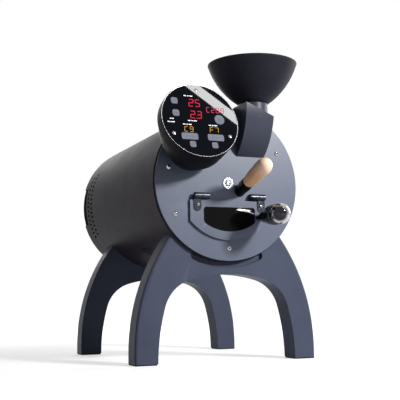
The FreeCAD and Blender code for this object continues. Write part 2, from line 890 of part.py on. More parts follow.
def leg_solid():
    """A leg plate with its outer edges rounded front and rear."""
    plate = Part.Face(leg_outline()).extrude(Vector(0, 0, -float(s.leg_thick)))
    outer_x = float(s.stance) / 2
    rounds = []
    for edge in plate.Edges:
        middle = edge.valueAt((edge.FirstParameter + edge.LastParameter) / 2)
        flat = all(abs(v.Z - middle.z) < 1e-6 for v in edge.Vertexes)
        on_arc = isinstance(edge.Curve, Part.Circle) and abs(edge.Curve.Radius - float(s.leg_outer_r)) < 1e-6
        upright = isinstance(edge.Curve, Part.Line) and abs(abs(middle.x) - outer_x) < 1e-6
        if flat and (on_arc or upright):
            rounds.append(edge)
    return plate.makeFillet(float(s.leg_round), rounds)


def make_legs():
    for label, place in (("front_leg", s.leg_front), ("rear_leg", s.leg_rear)):
        leg = leg_solid()
        if label == "front_leg":
            deep = float(s.pocket_deep)
            base = Vector(0, 0, -deep)
            outer = float(barrel_r + s.pocket_reach)
            pocket = Part.makeCylinder(outer, 2 * deep, base, AXIS_Z, float(s.pocket_span))
            corners = [edge for edge in pocket.Edges if isinstance(edge.Curve, Part.Line)
                       and all(abs(math.hypot(v.X, v.Y) - outer) < 1e-6 for v in edge.Vertexes)]
            pocket = pocket.makeFillet(float(s.pocket_round), corners)
            pocket.rotate(Vector(), AXIS_Z, float(s.pocket_from))
            leg = leg.cut(pocket)
        for side in (-1, 1):
            angle = math.radians(-90 + side * float(s.leg_screw_turn))
            out = Vector(math.cos(angle), math.sin(angle), 0)
            start = out * float(barrel_bore) - Vector(0, 0, float(s.leg_thick) / 2)
            leg = leg.cut(Part.makeCylinder(float(s.leg_screw_r + s.fit), float(s.leg_screw_long), start, out))
        leg.translate(Vector(0, 0, -float(place)))
        shape_node(label, leg)


def make_foot_pads():
    """A thin rubber pad under each foot."""
    pads = []
    wide = s.foot_wide - 2 * s.pad_inset
    for place in (s.leg_front, s.leg_rear):
        for left in (-(s.stance / 2) + s.pad_inset, s.stance / 2 - s.pad_inset - wide):
            pads.append(box(wide, s.pad_thick, s.leg_thick - 2 * s.pad_inset,
                            (left, -s.axis_z, -(place + s.leg_thick - s.pad_inset))))
    node("foot_pads", group(*pads))


def make_leg_screws():
    """Four screws driven outwards from inside the barrel into the legs."""
    screws = []
    for place in (s.leg_front, s.leg_rear):
        for side in (-1, 1):
            angle = -90 + side * s.leg_screw_turn
            middle = place + s.leg_thick / 2
            seat = barrel_bore - s.leg_head_r * s.leg_head_r / (2 * barrel_bore)
            head = radial_pin(s.leg_head_r, angle, middle, seat - s.leg_head_high, s.leg_head_high)
            shank = radial_pin(s.leg_screw_r, angle, middle, seat - s.leg_head_high / 2,
                               s.leg_screw_long - s.fit)
            screws.append(fuse(head, shank))
    node("leg_screws", group(*screws))


# ---------------------------------------------------------------- drum and its bearings

def make_drum_shell():
    """The steel drum with its stirring vanes welded in; open in front for the beans."""
    long = s.drum_back - s.drum_front
    inner = s.drum_r - s.drum_wall
    wall = tube(s.drum_r, inner, long, (0, 0, -s.drum_back))
    vanes = []
    vane_back = s.drum_back - s.back_thick - s.play
    for step in range(int(s.vane_count)):
        angle = (step + 0.5) * 360 / s.vane_count
        x, y = around(inner - s.vane_high, angle)
        side_x, side_y = around(s.vane_thick / 2, angle - 90)
        vanes.append(primitive("Box", (x + side_x, y + side_y, -vane_back), (AXIS_Z, angle),
                               Length=s.vane_high + s.drum_wall / 2, Width=s.vane_thick,
                               Height=vane_back - s.vane_front))
    node("drum_shell", fuse(wall, *vanes))


def make_drum_spider():
    """Hub and spokes near the front that run on the fixed front axle."""
    z = -(s.spider_at + s.spider_thick)
    reach = s.drum_r - s.drum_wall - s.fit
    arms = [cylinder(s.hub_r, s.spider_thick, (0, 0, z))]
    for step in range(int(s.spoke_count)):
        angle = dim(step) * 360 / s.spoke_count
        side_x, side_y = around(s.spoke_wide / 2, angle - 90)
        arms.append(primitive("Box", (side_x, side_y, z), (AXIS_Z, angle),
                              Length=reach, Width=s.spoke_wide, Height=s.spider_thick))
    star = common(fuse(*arms), cylinder(reach, s.spider_thick, (0, 0, z)))
    node("drum_spider", cut(star, cylinder(s.shaft_r + s.run, s.spider_thick, (0, 0, z))))


def make_drum_back():
    """The drum's perforated end disc, which the hot air leaves through, with its hub."""
    z = -s.drum_back
    disc = cylinder(s.drum_r - s.drum_wall - s.fit, s.back_thick, (0, 0, z))
    hub = cylinder(s.hub_r, 2 * s.back_thick, (0, 0, z))
    holes = [cylinder(s.shaft_r + s.fit, 2 * s.back_thick, (0, 0, z))]
    for ring in (s.back_ring_a, s.back_ring_b, s.back_ring_c):
        for step in range(int(s.back_hole_count)):
            x, y = around(ring, step * 360 / s.back_hole_count)
            holes.append(cylinder(s.back_hole_r, s.back_thick, (x, y, z)))
    node("drum_back", cut(fuse(disc, hub), group(*holes)))


def make_front_axle():
    """The fixed stub that carries the drum's front hub; its flange sits behind the faceplate."""
    end = s.spider_at + s.spider_thick + s.over
    stub = cylinder(s.shaft_r, end - s.over, (0, 0, -end))
    flange = cylinder(s.axle_flange_r, s.axle_flange_thick, (0, 0, -(s.plate_thick + s.axle_flange_thick)))
    tapped = cylinder(s.shank_r + s.fit, s.shank_long, (0, 0, -s.shank_long))
    node("front_axle", cut(fuse(stub, flange), tapped))


def make_axle_bolt():
    """The bright bolt and cup washer in the middle of the faceplate."""
    washer = tube(s.washer_r, s.shank_r + s.fit, s.washer_high, (0, 0, 0))
    dish = tube(s.washer_r - 2.6, s.axle_head_r + s.fit, s.washer_high / 2, (0, 0, s.washer_high / 2))
    head = cylinder(s.axle_head_r, s.axle_head_high - s.washer_high, (0, 0, s.washer_high))
    shank = cylinder(s.shank_r, s.shank_long - s.over + s.washer_high, (0, 0, s.over - s.shank_long))
    node("axle_bolt", group(cut(washer, dish), fuse(head, shank)))


def make_rear_bearing():
    """A flanged bush in the bulkhead."""
    long = s.bulkhead_thick + s.bearing_flange_thick
    z = -bulkhead_rear
    bush = fuse(cylinder(s.bearing_r, long, (0, 0, z)),
                cylinder(s.bearing_flange_r, s.bearing_flange_thick, (0, 0, z + s.bulkhead_thick)))
    node("rear_bearing", cut(bush, cylinder(s.shaft_r + s.run, long, (0, 0, z))))


def make_drum_shaft():
    node("drum_shaft", cylinder(s.shaft_r, s.shaft_end - s.drum_back + 2 * s.back_thick,
                                (0, 0, -s.shaft_end)))


# ---------------------------------------------------------------- gears and motor

def involute(base_r, radius):
    """Point on an involute at a radius, as its polar angle from where the involute starts."""
    roll = math.sqrt(max((radius / base_r) ** 2 - 1, 0.0))
    return roll - math.atan(roll)


def gear_shape(teeth, first_tooth, bore):
    """A spur gear with involute flanks; first_tooth is the direction of one tooth's middle in degrees."""
    module = float(s.gear_module)
    pressure = math.radians(20)
    pitch_r = module * teeth / 2
    base_r = pitch_r * math.cos(pressure)
    tip_r = pitch_r + 0.85 * module
    root_r = pitch_r - 1.15 * module
    half_tooth = math.pi / (2 * teeth) - float(s.tooth_play) / (2 * pitch_r)
    flank_start = half_tooth + involute(base_r, pitch_r)
    low_r = max(root_r, base_r)
    steps = 4
    points = []
    for tooth in range(teeth):
        middle = math.radians(first_tooth) + 2 * math.pi * tooth / teeth
        flank = []
        for step in range(steps + 1):
            radius = low_r + (tip_r - low_r) * step / steps
            flank.append((radius, flank_start - involute(base_r, radius)))
        if root_r < low_r:
            flank.insert(0, (root_r, flank[0][1]))
        side = [on_circle((0, 0), radius, middle - turn) for radius, turn in flank]
        far_side = [on_circle((0, 0), radius, middle + turn) for radius, turn in reversed(flank)]
        points += side + far_side
    wire = Part.makePolygon(points + points[:1])
    gear = Part.Face(wire).extrude(Vector(0, 0, float(s.gear_wide)))
    return gear.cut(Part.makeCylinder(bore, float(s.gear_wide)))


def make_gears():
    """The drum gear on the shaft and, below it, the pinion with its shaft, meshed tooth in gap at rest."""
    teeth = int(s.gear_teeth)
    gear = gear_shape(teeth, -90 + 180 / teeth, float(s.shaft_r + s.fit))
    gear.translate(Vector(0, 0, -float(s.gear_at + s.gear_wide)))
    shape_node("drum_gear", gear)
    pinion = gear_shape(int(s.pinion_teeth), 90, float(s.motor_shaft_r) / 2)
    back = float(s.bracket_at + s.bracket_thick + 4 * s.over - s.gear_at - s.gear_wide)
    shaft = Part.makeCylinder(float(s.motor_shaft_r), float(s.gear_wide) + back, Vector(0, 0, -back))
    pinion = pinion.fuse(shaft)
    pinion.translate(Vector(0, -float(pinion_drop), -float(s.gear_at + s.gear_wide)))
    shape_node("motor_pinion", pinion)


def make_motor_bracket():
    """A plate on four posts behind the bulkhead that holds the gear motor on the pinion's axis."""
    z = -(s.bracket_at + s.bracket_thick)
    parts = [centred_box(s.bracket_half + s.bracket_post_r, s.bracket_high, s.bracket_thick,
                         (0, -pinion_drop, z))]
    for side in (-1, 1):
        for up in (-1, 1):
            at = (side * s.bracket_half, up * (s.bracket_high - s.bracket_post_r) - pinion_drop, z)
            parts.append(cylinder(s.bracket_post_r, s.bracket_at + s.bracket_thick - bulkhead_rear, at))
    hole = cylinder(s.motor_shaft_r + s.over, s.bracket_thick + 2 * s.over, (0, -pinion_drop, z - s.over))
    node("motor_bracket", cut(fuse(*parts), hole))


def make_drum_motor():
    """The gear motor's can, bored for the pinion's shaft."""
    z = -(s.bracket_at + s.bracket_thick + s.motor_long)
    can = cylinder(s.motor_r, s.motor_long, (0, -pinion_drop, z))
    nose_bore = cylinder(s.motor_shaft_r + s.run, s.over * 5, (0, -pinion_drop,
                                                              -(s.bracket_at + s.bracket_thick + 5 * s.over)))
    node("drum_motor", cut(can, nose_bore))


# ---------------------------------------------------------------- heating and sensing

def make_insulation_sleeve():
    """The heat-proof sleeve around the drum, from the faceplate to the bulkhead."""
    long = s.bulkhead_at - s.plate_thick
    node("insulation_sleeve", tube(s.sleeve_r + s.sleeve_wall, s.sleeve_r, long, (0, 0, -s.bulkhead_at)))


def make_induction_coil():
    """The turns of the induction winding around the sleeve."""
    rings = []
    ring_r = s.sleeve_r + s.sleeve_wall + s.play + s.coil_wire_r
    for step in range(int(s.coil_turns)):
        rings.append(primitive("Torus", (0, 0, -(s.coil_at + step * s.coil_pitch)), (AXIS_Z, 0),
                               Radius1=ring_r, Radius2=s.coil_wire_r))
    node("induction_coil", group(*rings))


def make_bean_sensor():
    """The infrared bean temperature sensor on the faceplate's inner side."""
    z = -(s.plate_thick + s.sensor_long)
    at = (s.sensor_x, -s.sensor_drop, z)
    body = cylinder(s.sensor_r, s.sensor_long, at)
    node("bean_sensor", cut(body, cylinder(s.sensor_lens_r, s.over, at)))


# ---------------------------------------------------------------- exhaust

def make_exhaust_duct():
    """A round duct from the bulkhead, with a hood behind the drum and a thicker hose collar at the rear."""
    inner = s.duct_r - s.duct_wall
    rise = s.air_hole_up - s.duct_up
    neck_end = bulkhead_rear + s.hood_neck
    neck_r = s.air_hole_r + s.duct_wall
    run_long = s.duct_at - neck_end
    outside = fuse(cylinder(neck_r, s.hood_neck, (0, rise, -neck_end)),
                   hood_cone(neck_r, duct_run_r, rise, neck_end, run_long),
                   cylinder(duct_run_r, duct_end - s.duct_at, (0, 0, -duct_end)),
                   cylinder(s.duct_r, s.collar_long, (0, 0, -duct_end)))
    inside = fuse(cylinder(s.air_hole_r, s.hood_neck, (0, rise, -neck_end)),
                  hood_cone(s.air_hole_r, inner, rise, neck_end, run_long),
                  cylinder(inner, duct_end - s.duct_at, (0, 0, -duct_end)))
    node("exhaust_duct", cut(outside, inside), DUCT)


def hood_cone(small_r, large_r, rise, start, long):
    """The slanted cone between the neck and the duct, lofted between its two end circles."""
    near = DOC.addObject("Part::Circle", "Circle")
    bind(near, "Radius", small_r)
    bind(near, ".Placement.Base.y", rise)
    bind(near, ".Placement.Base.z", -start)
    far = DOC.addObject("Part::Circle", "Circle")
    bind(far, "Radius", large_r)
    bind(far, ".Placement.Base.z", -(start + long))
    return loft(near, far)


def loft(*sections):
    obj = DOC.addObject("Part::Loft", "Loft")
    obj.Sections = list(sections)
    obj.Solid = True
    obj.Ruled = True
    return obj


def blade_ring(count, root_r, tip_r, wide, thick, turn, z):
    """Fan blades: thin plates set at an angle, between two radii."""
    blades = []
    for step in range(int(count)):
        angle = float(step) * 360 / float(count)
        blade = Part.makeBox(float(tip_r - root_r), float(thick), float(wide))
        blade.translate(Vector(float(root_r), -float(thick) / 2, -float(wide) / 2))
        blade.rotate(Vector(), AXIS_X, float(turn))
        blade.rotate(Vector(), AXIS_Z, angle)
        blade.translate(Vector(0, 0, float(z)))
        blades.append(blade)
    return blades


def fan_shape(front, wide, hub_r, tip_r, bore, count):
    """A hub with blades, trimmed to the tip radius and to its width."""
    z = -float(front + wide)
    hub = Part.makeCylinder(float(hub_r), float(wide), Vector(0, 0, z))
    blades = blade_ring(count, hub_r - s.over, tip_r, wide, s.blade_thick, s.blade_turn, z + float(wide) / 2)
    fan = hub.multiFuse(blades)
    fan = fan.common(Part.makeCylinder(float(tip_r), float(wide), Vector(0, 0, z)))
    return fan.cut(Part.makeCylinder(float(bore), float(wide), Vector(0, 0, z)))


def make_exhaust_fan():
    fan = fan_shape(s.fan_at, s.fan_wide, s.fan_hub_r, s.fan_r, s.fan_shaft_r + s.run, s.fan_blades)
    shape_node("exhaust_impeller", fan, DUCT)


def make_fan_motor():
    """The fan's motor on three struts inside the duct, its shaft reaching forward through the impeller."""
    z = -(s.fan_motor_at + s.fan_motor_long)
    parts = [cylinder(s.fan_motor_r, s.fan_motor_long, (0, 0, z)),
             cylinder(s.fan_shaft_r, s.fan_motor_at - s.fan_at + s.over, (0, 0, -s.fan_motor_at - s.over))]
    reach = s.duct_r - s.duct_wall - s.fit
    for step in range(int(s.strut_count)):
        angle = 90 + dim(step) * 360 / s.strut_count
        side_x, side_y = around(s.strut_wide / 2, angle - 90)
        strut = primitive("Box", (side_x, side_y, z + s.strut_wide), (AXIS_Z, angle),
                          Length=reach, Width=s.strut_wide, Height=s.strut_wide)
        parts.append(common(strut, cylinder(reach, s.strut_wide, (0, 0, z + s.strut_wide))))
    node("fan_motor", fuse(*parts), DUCT)


def make_chaff_basket():
    """A cup with a sieve bottom and a wire bail, pushed into the duct from behind to catch the chaff."""
    radius = s.duct_r - s.duct_wall - s.basket_fit
    long = basket_end - basket_at
    z = -basket_end
    cup = cut(cylinder(radius, long, (0, 0, z)),
              cylinder(radius - s.basket_wall, long, (0, 0, z + s.basket_wall)))
    holes = []
    for ring in range(1, int(s.basket_rings) + 1):
        count = 6 * ring
        for step in range(count):
            x, y = around(ring * s.basket_ring, step * 360 / count)
            holes.append(cylinder(s.basket_hole_r, 2 * s.basket_wall, (x, y, z - s.basket_wall / 2)))
    legs = [cylinder(s.grip_r, s.grip_out, (side * s.grip_half, 0, z - s.grip_out)) for side in (-1, 1)]
    bar = cylinder(s.grip_r, 2 * s.grip_half, (-s.grip_half, 0, z - s.grip_out), ALONG_X)
    knees = [sphere(s.grip_r, (side * s.grip_half, 0, z - s.grip_out)) for side in (-1, 1)]
    node("chaff_basket", fuse(cut(cup, group(*holes)), bar, *legs, *knees), DUCT)


# ---------------------------------------------------------------- electrics

def make_board_tray():
    """A shelf from the bulkhead to the rear cover, with four pressed-in standoffs."""
    shelf = box(2 * s.tray_half, s.tray_thick, cover_at - bulkhead_rear,
                (-s.tray_half, -s.tray_drop, -cover_at))
    posts = []
    for x in (-s.board_half + s.standoff_in, s.board_half - s.standoff_in):
        for place in (s.board_at + s.standoff_in, s.board_at + s.board_long - s.standoff_in):
            posts.append(cylinder(s.standoff_r, s.board_gap + s.tray_thick / 2,
                                  (x, -s.tray_drop + s.tray_thick / 2, -place), ALONG_Y))
    node("board_tray", fuse(shelf, *posts))


def make_power_board():
    """The heater's power board with its finned heat sink and two capacitors."""
    level = -tray_top + s.board_gap
    board = box(2 * s.board_half, s.board_thick, s.board_long,
                (-s.board_half, level, -(s.board_at + s.board_long)))
    top = level + s.board_thick
    base = s.sink_high / 4
    back = s.board_at + s.standoff_in + s.sink_long
    sink = [box(2 * s.sink_half, base, s.sink_long, (-s.sink_half, top, -back))]
    fin = 2 * s.sink_half / (2 * s.sink_fins - 1)
    for step in range(int(s.sink_fins)):
        sink.append(box(fin, s.sink_high, s.sink_long, (2 * step * fin - s.sink_half, top, -back)))
    caps = []
    for side in (-1, 1):
        caps.append(cylinder(s.cap_r, s.cap_high, (side * (s.board_half - 2 * s.cap_r), top,
                                                   -(s.board_at + s.board_long - 3 * s.cap_r)), ALONG_Y))
    node("power_board", group(board, fuse(*sink), *caps))


def make_cooling_fan():
    """The electronics' fan: a square frame on the rear cover and a rotor on a short pin."""
    z = -cover_at
    frame = centred_box(s.cooler_half, s.cooler_half, s.cooler_deep, (0, 0, z))
    bore = cylinder(s.cooler_bore, s.cooler_deep, (0, 0, z + s.over))
    pin = cylinder(s.cooler_shaft_r, s.cooler_deep - 2 * s.over, (0, 0, z + s.over / 2))
    node("cooling_fan_frame", fuse(cut(frame, bore), pin), COOLER)
    wide = s.cooler_deep - 2.5 * s.over
    rotor = fan_shape(cover_at - s.over - s.play - wide, wide, s.cooler_hub_r, s.cooler_fan_r,
                      s.cooler_shaft_r + s.run, s.cooler_blades)
    shape_node("cooling_fan_rotor", rotor, COOLER)


def make_mains_inlet():
    """The appliance inlet: a flanged socket with three blades, set through the rear cover."""
    z = -cover_rear
    flange = centred_box(s.inlet_half + s.inlet_flange, s.inlet_half_high + s.inlet_flange, s.cover_thick,
                         (s.inlet_x, -s.inlet_drop, z - s.cover_thick))
    body = centred_box(s.inlet_half, s.inlet_half_high, s.inlet_deep,
                       (s.inlet_x, -s.inlet_drop, z - s.cover_thick / 2))
    well = centred_box(s.inlet_half - s.over, s.inlet_half_high - s.over, s.inlet_well,
                       (s.inlet_x, -s.inlet_drop, z - s.cover_thick))
    blades = []
    for side, up in ((-1, -1), (0, 1), (1, -1)):
        blades.append(centred_box(1, 2, s.inlet_well - s.over,
                                  (s.inlet_x + side * 7, up * 2 - s.inlet_drop, z)))
    node("mains_inlet", fuse(cut(fuse(flange, body), well), *blades))


def make_power_switch():
    """A rocker switch: a socket through the rear cover and a rocker that stands tipped to its off side."""
    wide = s.switch_half_wide + 1
    high = s.switch_half + 1
    body = centred_box(wide, high, s.switch_deep, (0, 0, 0))
    flange = centred_box(wide + 1.5, high + 1.5, 1.5, (0, 0, -1.5))
    bottom = s.switch_deep - s.over
    well = centred_box(s.switch_half_wide + s.play, s.switch_half + s.play, bottom + 1.5, (0, 0, -1.5))
    node("switch_body", cut(fuse(body, flange), well), SWITCH)
    lean = float(s.switch_turn)
    half, wide = float(s.switch_half), float(s.switch_half_wide)
    rise = half * math.sin(math.radians(lean))
    depth = float(s.switch_deep) / 2
    profile = [Vector(-wide, -half + rise, depth / 2), Vector(-wide, half - rise, depth / 2),
               Vector(-wide, half - rise, -rise - 1.5), Vector(-wide, 0, -0.5 * rise),
               Vector(-wide, -half + rise, -rise - 1.5)]
    rocker = Part.Face(Part.makePolygon(profile + profile[:1])).extrude(Vector(2 * wide, 0, 0))
    rocker.rotate(Vector(), AXIS_X, lean)
    shape_node("power_switch", rocker, SWITCH)


# ---------------------------------------------------------------- bean door

door_back = s.door_gap
door_front = s.door_gap + s.door_thick


def make_door_frame():
    """The door: straight sides, an arc below, and a window with a land for the glass behind it."""
    plate = sector(s.door_side, s.door_top, s.door_arc, s.door_thick, door_back)
    window = sector(s.window_side, s.window_top, s.window_arc, s.door_thick + 2 * s.over,
                    door_back - s.over)
    land = sector(s.window_side + s.glass_land, s.window_top - s.glass_land, s.window_arc + s.glass_land,
                  s.glass_thick + s.fit + s.over, door_back - s.over)
    stud = cylinder(s.stud_r + s.fit, s.door_thick, (s.knob_x, -s.knob_drop, door_back + 0.5))
    node("door_frame", cut(plate, window, land, stud))


def make_door_glass():
    node("door_glass", sector(s.window_side + s.glass_land - s.fit, s.window_top - s.glass_land + s.fit,
                              s.window_arc + s.glass_land - s.fit, s.glass_thick, door_back))


def make_hinges():
    """Two hinges above the door: leaves on the door outboard, brackets on the faceplate inboard."""
    leaves, brackets, pins = [], [], []
    for side in (-1, 1):
        wide = s.leaf_out - s.leaf_in
        left = side * (s.leaf_in + wide / 2) - wide / 2
        knuckle = cylinder(s.knuckle_r, wide, (left, -s.hinge_drop, s.hinge_out), ALONG_X)
        round_low = s.leaf_low - wide / 2
        strap = box(wide, round_low - s.hinge_drop, s.leaf_thick, (left, -round_low, door_front))
        tip = cylinder(wide / 2, s.leaf_thick, (left + wide / 2, -round_low, door_front))
        bore = cylinder(s.pin_r + s.run, wide + 2 * s.over, (left - s.over, -s.hinge_drop, s.hinge_out),
                        ALONG_X)
        leaves.append(cut(fuse(knuckle, strap, tip), bore))
        leaves.append(cylinder(s.leaf_screw_r, s.leaf_screw_high,
                               (side * s.leaf_screw_x, -s.leaf_screw_drop, door_front + s.leaf_thick)))
        inner = s.leaf_in - s.play - s.bracket_in
        start = side * (s.bracket_in + inner / 2) - inner / 2
        ear = cylinder(s.knuckle_r, inner, (start, -s.hinge_drop, s.hinge_out), ALONG_X)
        base = box(inner, 2 * s.knuckle_r, s.hinge_out, (start, -s.hinge_drop - s.knuckle_r, 0))
        hole = cylinder(s.pin_r + s.fit, inner, (start, -s.hinge_drop, s.hinge_out), ALONG_X)
        brackets.append(cut(fuse(ear, base), hole))
        long = s.leaf_out - s.bracket_in
        pins.append(cylinder(s.pin_r, long, (side * (s.bracket_in + long / 2) - long / 2,
                                             -s.hinge_drop, s.hinge_out), ALONG_X))
    node("hinge_leaves", group(*leaves))
    node("hinge_brackets", group(*brackets))
    node("hinge_pins", group(*pins))


def make_knob():
    """The door's knob: a flared black stem that cups a chrome ball, on a stud in the door."""
    foot = door_front
    stem_bore = s.stud_r + s.fit
    stem = fuse(cylinder(s.knob_root_r, s.knob_root - foot, (0, 0, foot)),
                cone(s.knob_root_r, s.knob_neck_r, s.knob_neck - s.knob_root, (0, 0, s.knob_root)),
                cone(s.knob_neck_r, s.knob_cup_r, s.knob_cup - s.knob_neck, (0, 0, s.knob_neck)),
                cone(s.knob_cup_r, s.knob_lip_r, s.knob_lip - s.knob_cup, (0, 0, s.knob_cup)))
    hollow = sphere(s.ball_r + s.fit, (0, 0, s.ball_at))
    stud = cylinder(s.stud_r, s.stud_long - s.fit + s.door_thick - 1, (0, 0, door_back + 1))
    node("knob_stem", group(cut(stem, hollow, cylinder(stem_bore, s.stud_long, (0, 0, foot))), stud), KNOB)
    node("knob_ball", sphere(s.ball_r, (0, 0, s.ball_at)), KNOB)


# ---------------------------------------------------------------- trier

def make_trier_socket():
    """The black socket that slants out of the faceplate, with a flange behind the plate and a wider end."""
    z = -(s.plate_thick + s.socket_flange_thick)
    barrel = fuse(trier_rod(s.socket_r, s.socket_in + s.over, s.socket_out),
                  trier_rod(s.socket_collar_r, -s.socket_step, s.socket_out))
    flange = cylinder(s.socket_flange_r, s.socket_flange_thick, (s.trier_x, -s.trier_drop, z))
    bore = trier_rod(s.turn_sleeve_r + s.run, s.socket_in + 3 * s.over, s.socket_out + s.over)
    node("trier_socket", cut(fuse(barrel, flange), bore))


def make_trier_sleeve():
    """The sleeve that turns in the socket and lets the trier slide; its lip hides the socket's end."""
    back = s.socket_in + s.over
    lip_z = s.socket_out + s.play
    sleeve = fuse(cylinder(s.turn_sleeve_r, back + lip_z, (0, 0, -back)),
                  cylinder(s.socket_collar_r, s.turn_lip, (0, 0, lip_z)))
    node("trier_sleeve", cut(sleeve, cylinder(s.sleeve_bore, 2 * (back + lip_z), (0, 0, -back - s.over))),
         TRIER)


def make_trier_scoop():
    """A closed-ended tube with its upper half cut away inside the drum, to lift a sample of beans."""
    radius = s.sleeve_bore - s.run
    front = s.handle_at - s.play
    rod = cylinder(radius, s.scoop_back + front, (0, 0, -s.scoop_back))
    bowl_long = s.scoop_back - s.scoop_open_from - s.scoop_wall
    hollow = cylinder(radius - s.scoop_wall, bowl_long, (0, 0, s.scoop_wall - s.scoop_back))
    lid = box(2 * s.socket_r, s.socket_r, bowl_long, (-s.socket_r, 0, s.scoop_wall - s.scoop_back))
    node("trier_scoop", cut(rod, hollow, lid), TRIER)


def make_trier_handle():
    """The turned wooden handle, fuller towards its rounded end."""
    turned("trier_handle", TRIER,
           [(0, s.handle_at), (s.handle_root_r, s.handle_at), (s.handle_mid_r, s.handle_mid),
            (s.handle_full_r, s.handle_full), (0, s.handle_end)],
           curved=3, radius=handle_tip_radius(), middle=handle_tip_middle())


def handle_tip_radius():
    """Radius of the arc that rounds the handle's end from full girth to the axis, square to the axis."""
    high = s.handle_end - s.handle_full
    return (s.handle_full_r * s.handle_full_r + high * high) / (2 * high)


def handle_tip_middle():
    radius = float(handle_tip_radius())
    centre = float(s.handle_end) - radius
    turn = (math.pi / 2 + math.atan2(float(s.handle_full) - centre, float(s.handle_full_r))) / 2
    return radius * math.cos(turn), centre + radius * math.sin(turn)


# ---------------------------------------------------------------- chute and funnel

def make_chute():
    """The bean chute: a curved front that leads beans through the faceplate, and a collar for the funnel."""
    wide = s.chute_right - s.chute_left
    front = s.chute_arc - s.chute_arc_back
    collar_back = s.funnel_out - s.collar_r
    top = s.collar_top + s.over
    block = box(wide, top - s.chute_low, front - collar_back, (s.chute_left, s.chute_low, collar_back))
    curve = cylinder(s.chute_arc, wide, (s.chute_left, s.chute_arc_up, -s.chute_arc_back), ALONG_X)
    above = box(wide, top - s.chute_arc_up, front - collar_back, (s.chute_left, s.chute_arc_up, collar_back))
    lead = wide / 2
    rise = lead * sine(s.chute_fall) / cosine(s.chute_fall)
    slope = box(3 * wide, wide, 2 * front + s.chute_arc, (s.chute_left - lead, s.chute_top + rise, -front),
                (AXIS_Z, -s.chute_fall))
    shell = cut(common(block, fuse(curve, above)), slope)
    collar_at = (s.funnel_x, s.chute_roof, s.funnel_out)
    up = (AXIS_X, -90)
    collar = cylinder(s.collar_r, s.collar_top - s.chute_roof, collar_at, up)
    body = fuse(shell, collar)
    clear = s.play
    plate_room = cylinder(s.plate_r + clear, s.barrel_set + s.over, (0, 0, -(s.barrel_set + s.over)))
    barrel_room = cylinder(barrel_r + clear, 4 * s.collar_r, (0, 0, -s.barrel_set + clear - 4 * s.collar_r))
    bore = cylinder(s.spigot_r + s.play, s.collar_top, collar_at, up)
    inner_left = s.chute_left + s.chute_wall
    inner_wide = wide - 2 * s.chute_wall
    inner_low = s.feed_low
    hollow_box = box(inner_wide, s.chute_roof - inner_low, front,
                     (inner_left, inner_low, s.chute_back_wall))
    hollow_curve = cylinder(s.chute_arc - s.chute_wall, inner_wide,
                            (inner_left, s.chute_arc_up, -s.chute_arc_back), ALONG_X)
    hollow = common(hollow_box, hollow_curve)
    mouth = common(box(s.feed_right - s.feed_left, s.feed_high - s.feed_low, 2 * s.chute_back_wall,
                       (s.feed_left, s.feed_low, -s.chute_back_wall)),
                   cylinder(s.chute_arc - s.chute_wall, 2 * wide,
                            (0, s.chute_arc_up, -s.chute_arc_back), ALONG_X))
    node("chute", cut(body, plate_room, barrel_room, bore, hollow, mouth))


def make_funnel():
    """The bean funnel: a deep bowl with a spigot that drops into the chute's collar."""
    neck = float(s.collar_r)
    wall = float(s.funnel_wall)
    start, end = Vector(neck, 0, 0), Vector(float(s.rim_r), 0, float(s.bowl_high))
    middle = Vector(float(s.bowl_mid_r), 0, float(s.bowl_mid_high))
    outer = Part.Circle(start, middle, end)
    centre = outer.Center
    inner_r = outer.Radius - wall

    def on_inner(point):
        way = (point - centre).normalize()
        return centre + way * inner_r

    throat = float(s.spigot_r - s.spigot_wall)
    spigot = float(s.spigot_r)
    depth = -float(s.spigot_long)
    lip = centre.x + math.sqrt(inner_r ** 2 - (end.z - centre.z) ** 2)
    inner_start = on_inner(start)
    rim = Vector(lip, 0, end.z)
    inner = Part.Arc(rim, on_inner(middle), inner_start)
    corners = [(end, rim), (inner_start, Vector(throat, 0, inner_start.z - wall)),
               (Vector(throat, 0, inner_start.z - wall), Vector(throat, 0, depth)),
               (Vector(throat, 0, depth), Vector(spigot, 0, depth)),
               (Vector(spigot, 0, depth), Vector(spigot, 0, 0)), (Vector(spigot, 0, 0), start)]
    edges = [Part.LineSegment(a, b).toShape() for a, b in corners]
    wire = Part.Wire(Part.__sortEdges__(edges + [Part.Arc(start, middle, end).toShape(), inner.toShape()]))
    shape_node("funnel", Part.Face(wire).revolve(Vector(), AXIS_Z, 360), FUNNEL)


# ---------------------------------------------------------------- display

seat = -s.glass_disc_thick - 0.2
SCREW_SPOTS = [90, 180 + s.disc_screw_turn, 360 - s.disc_screw_turn]


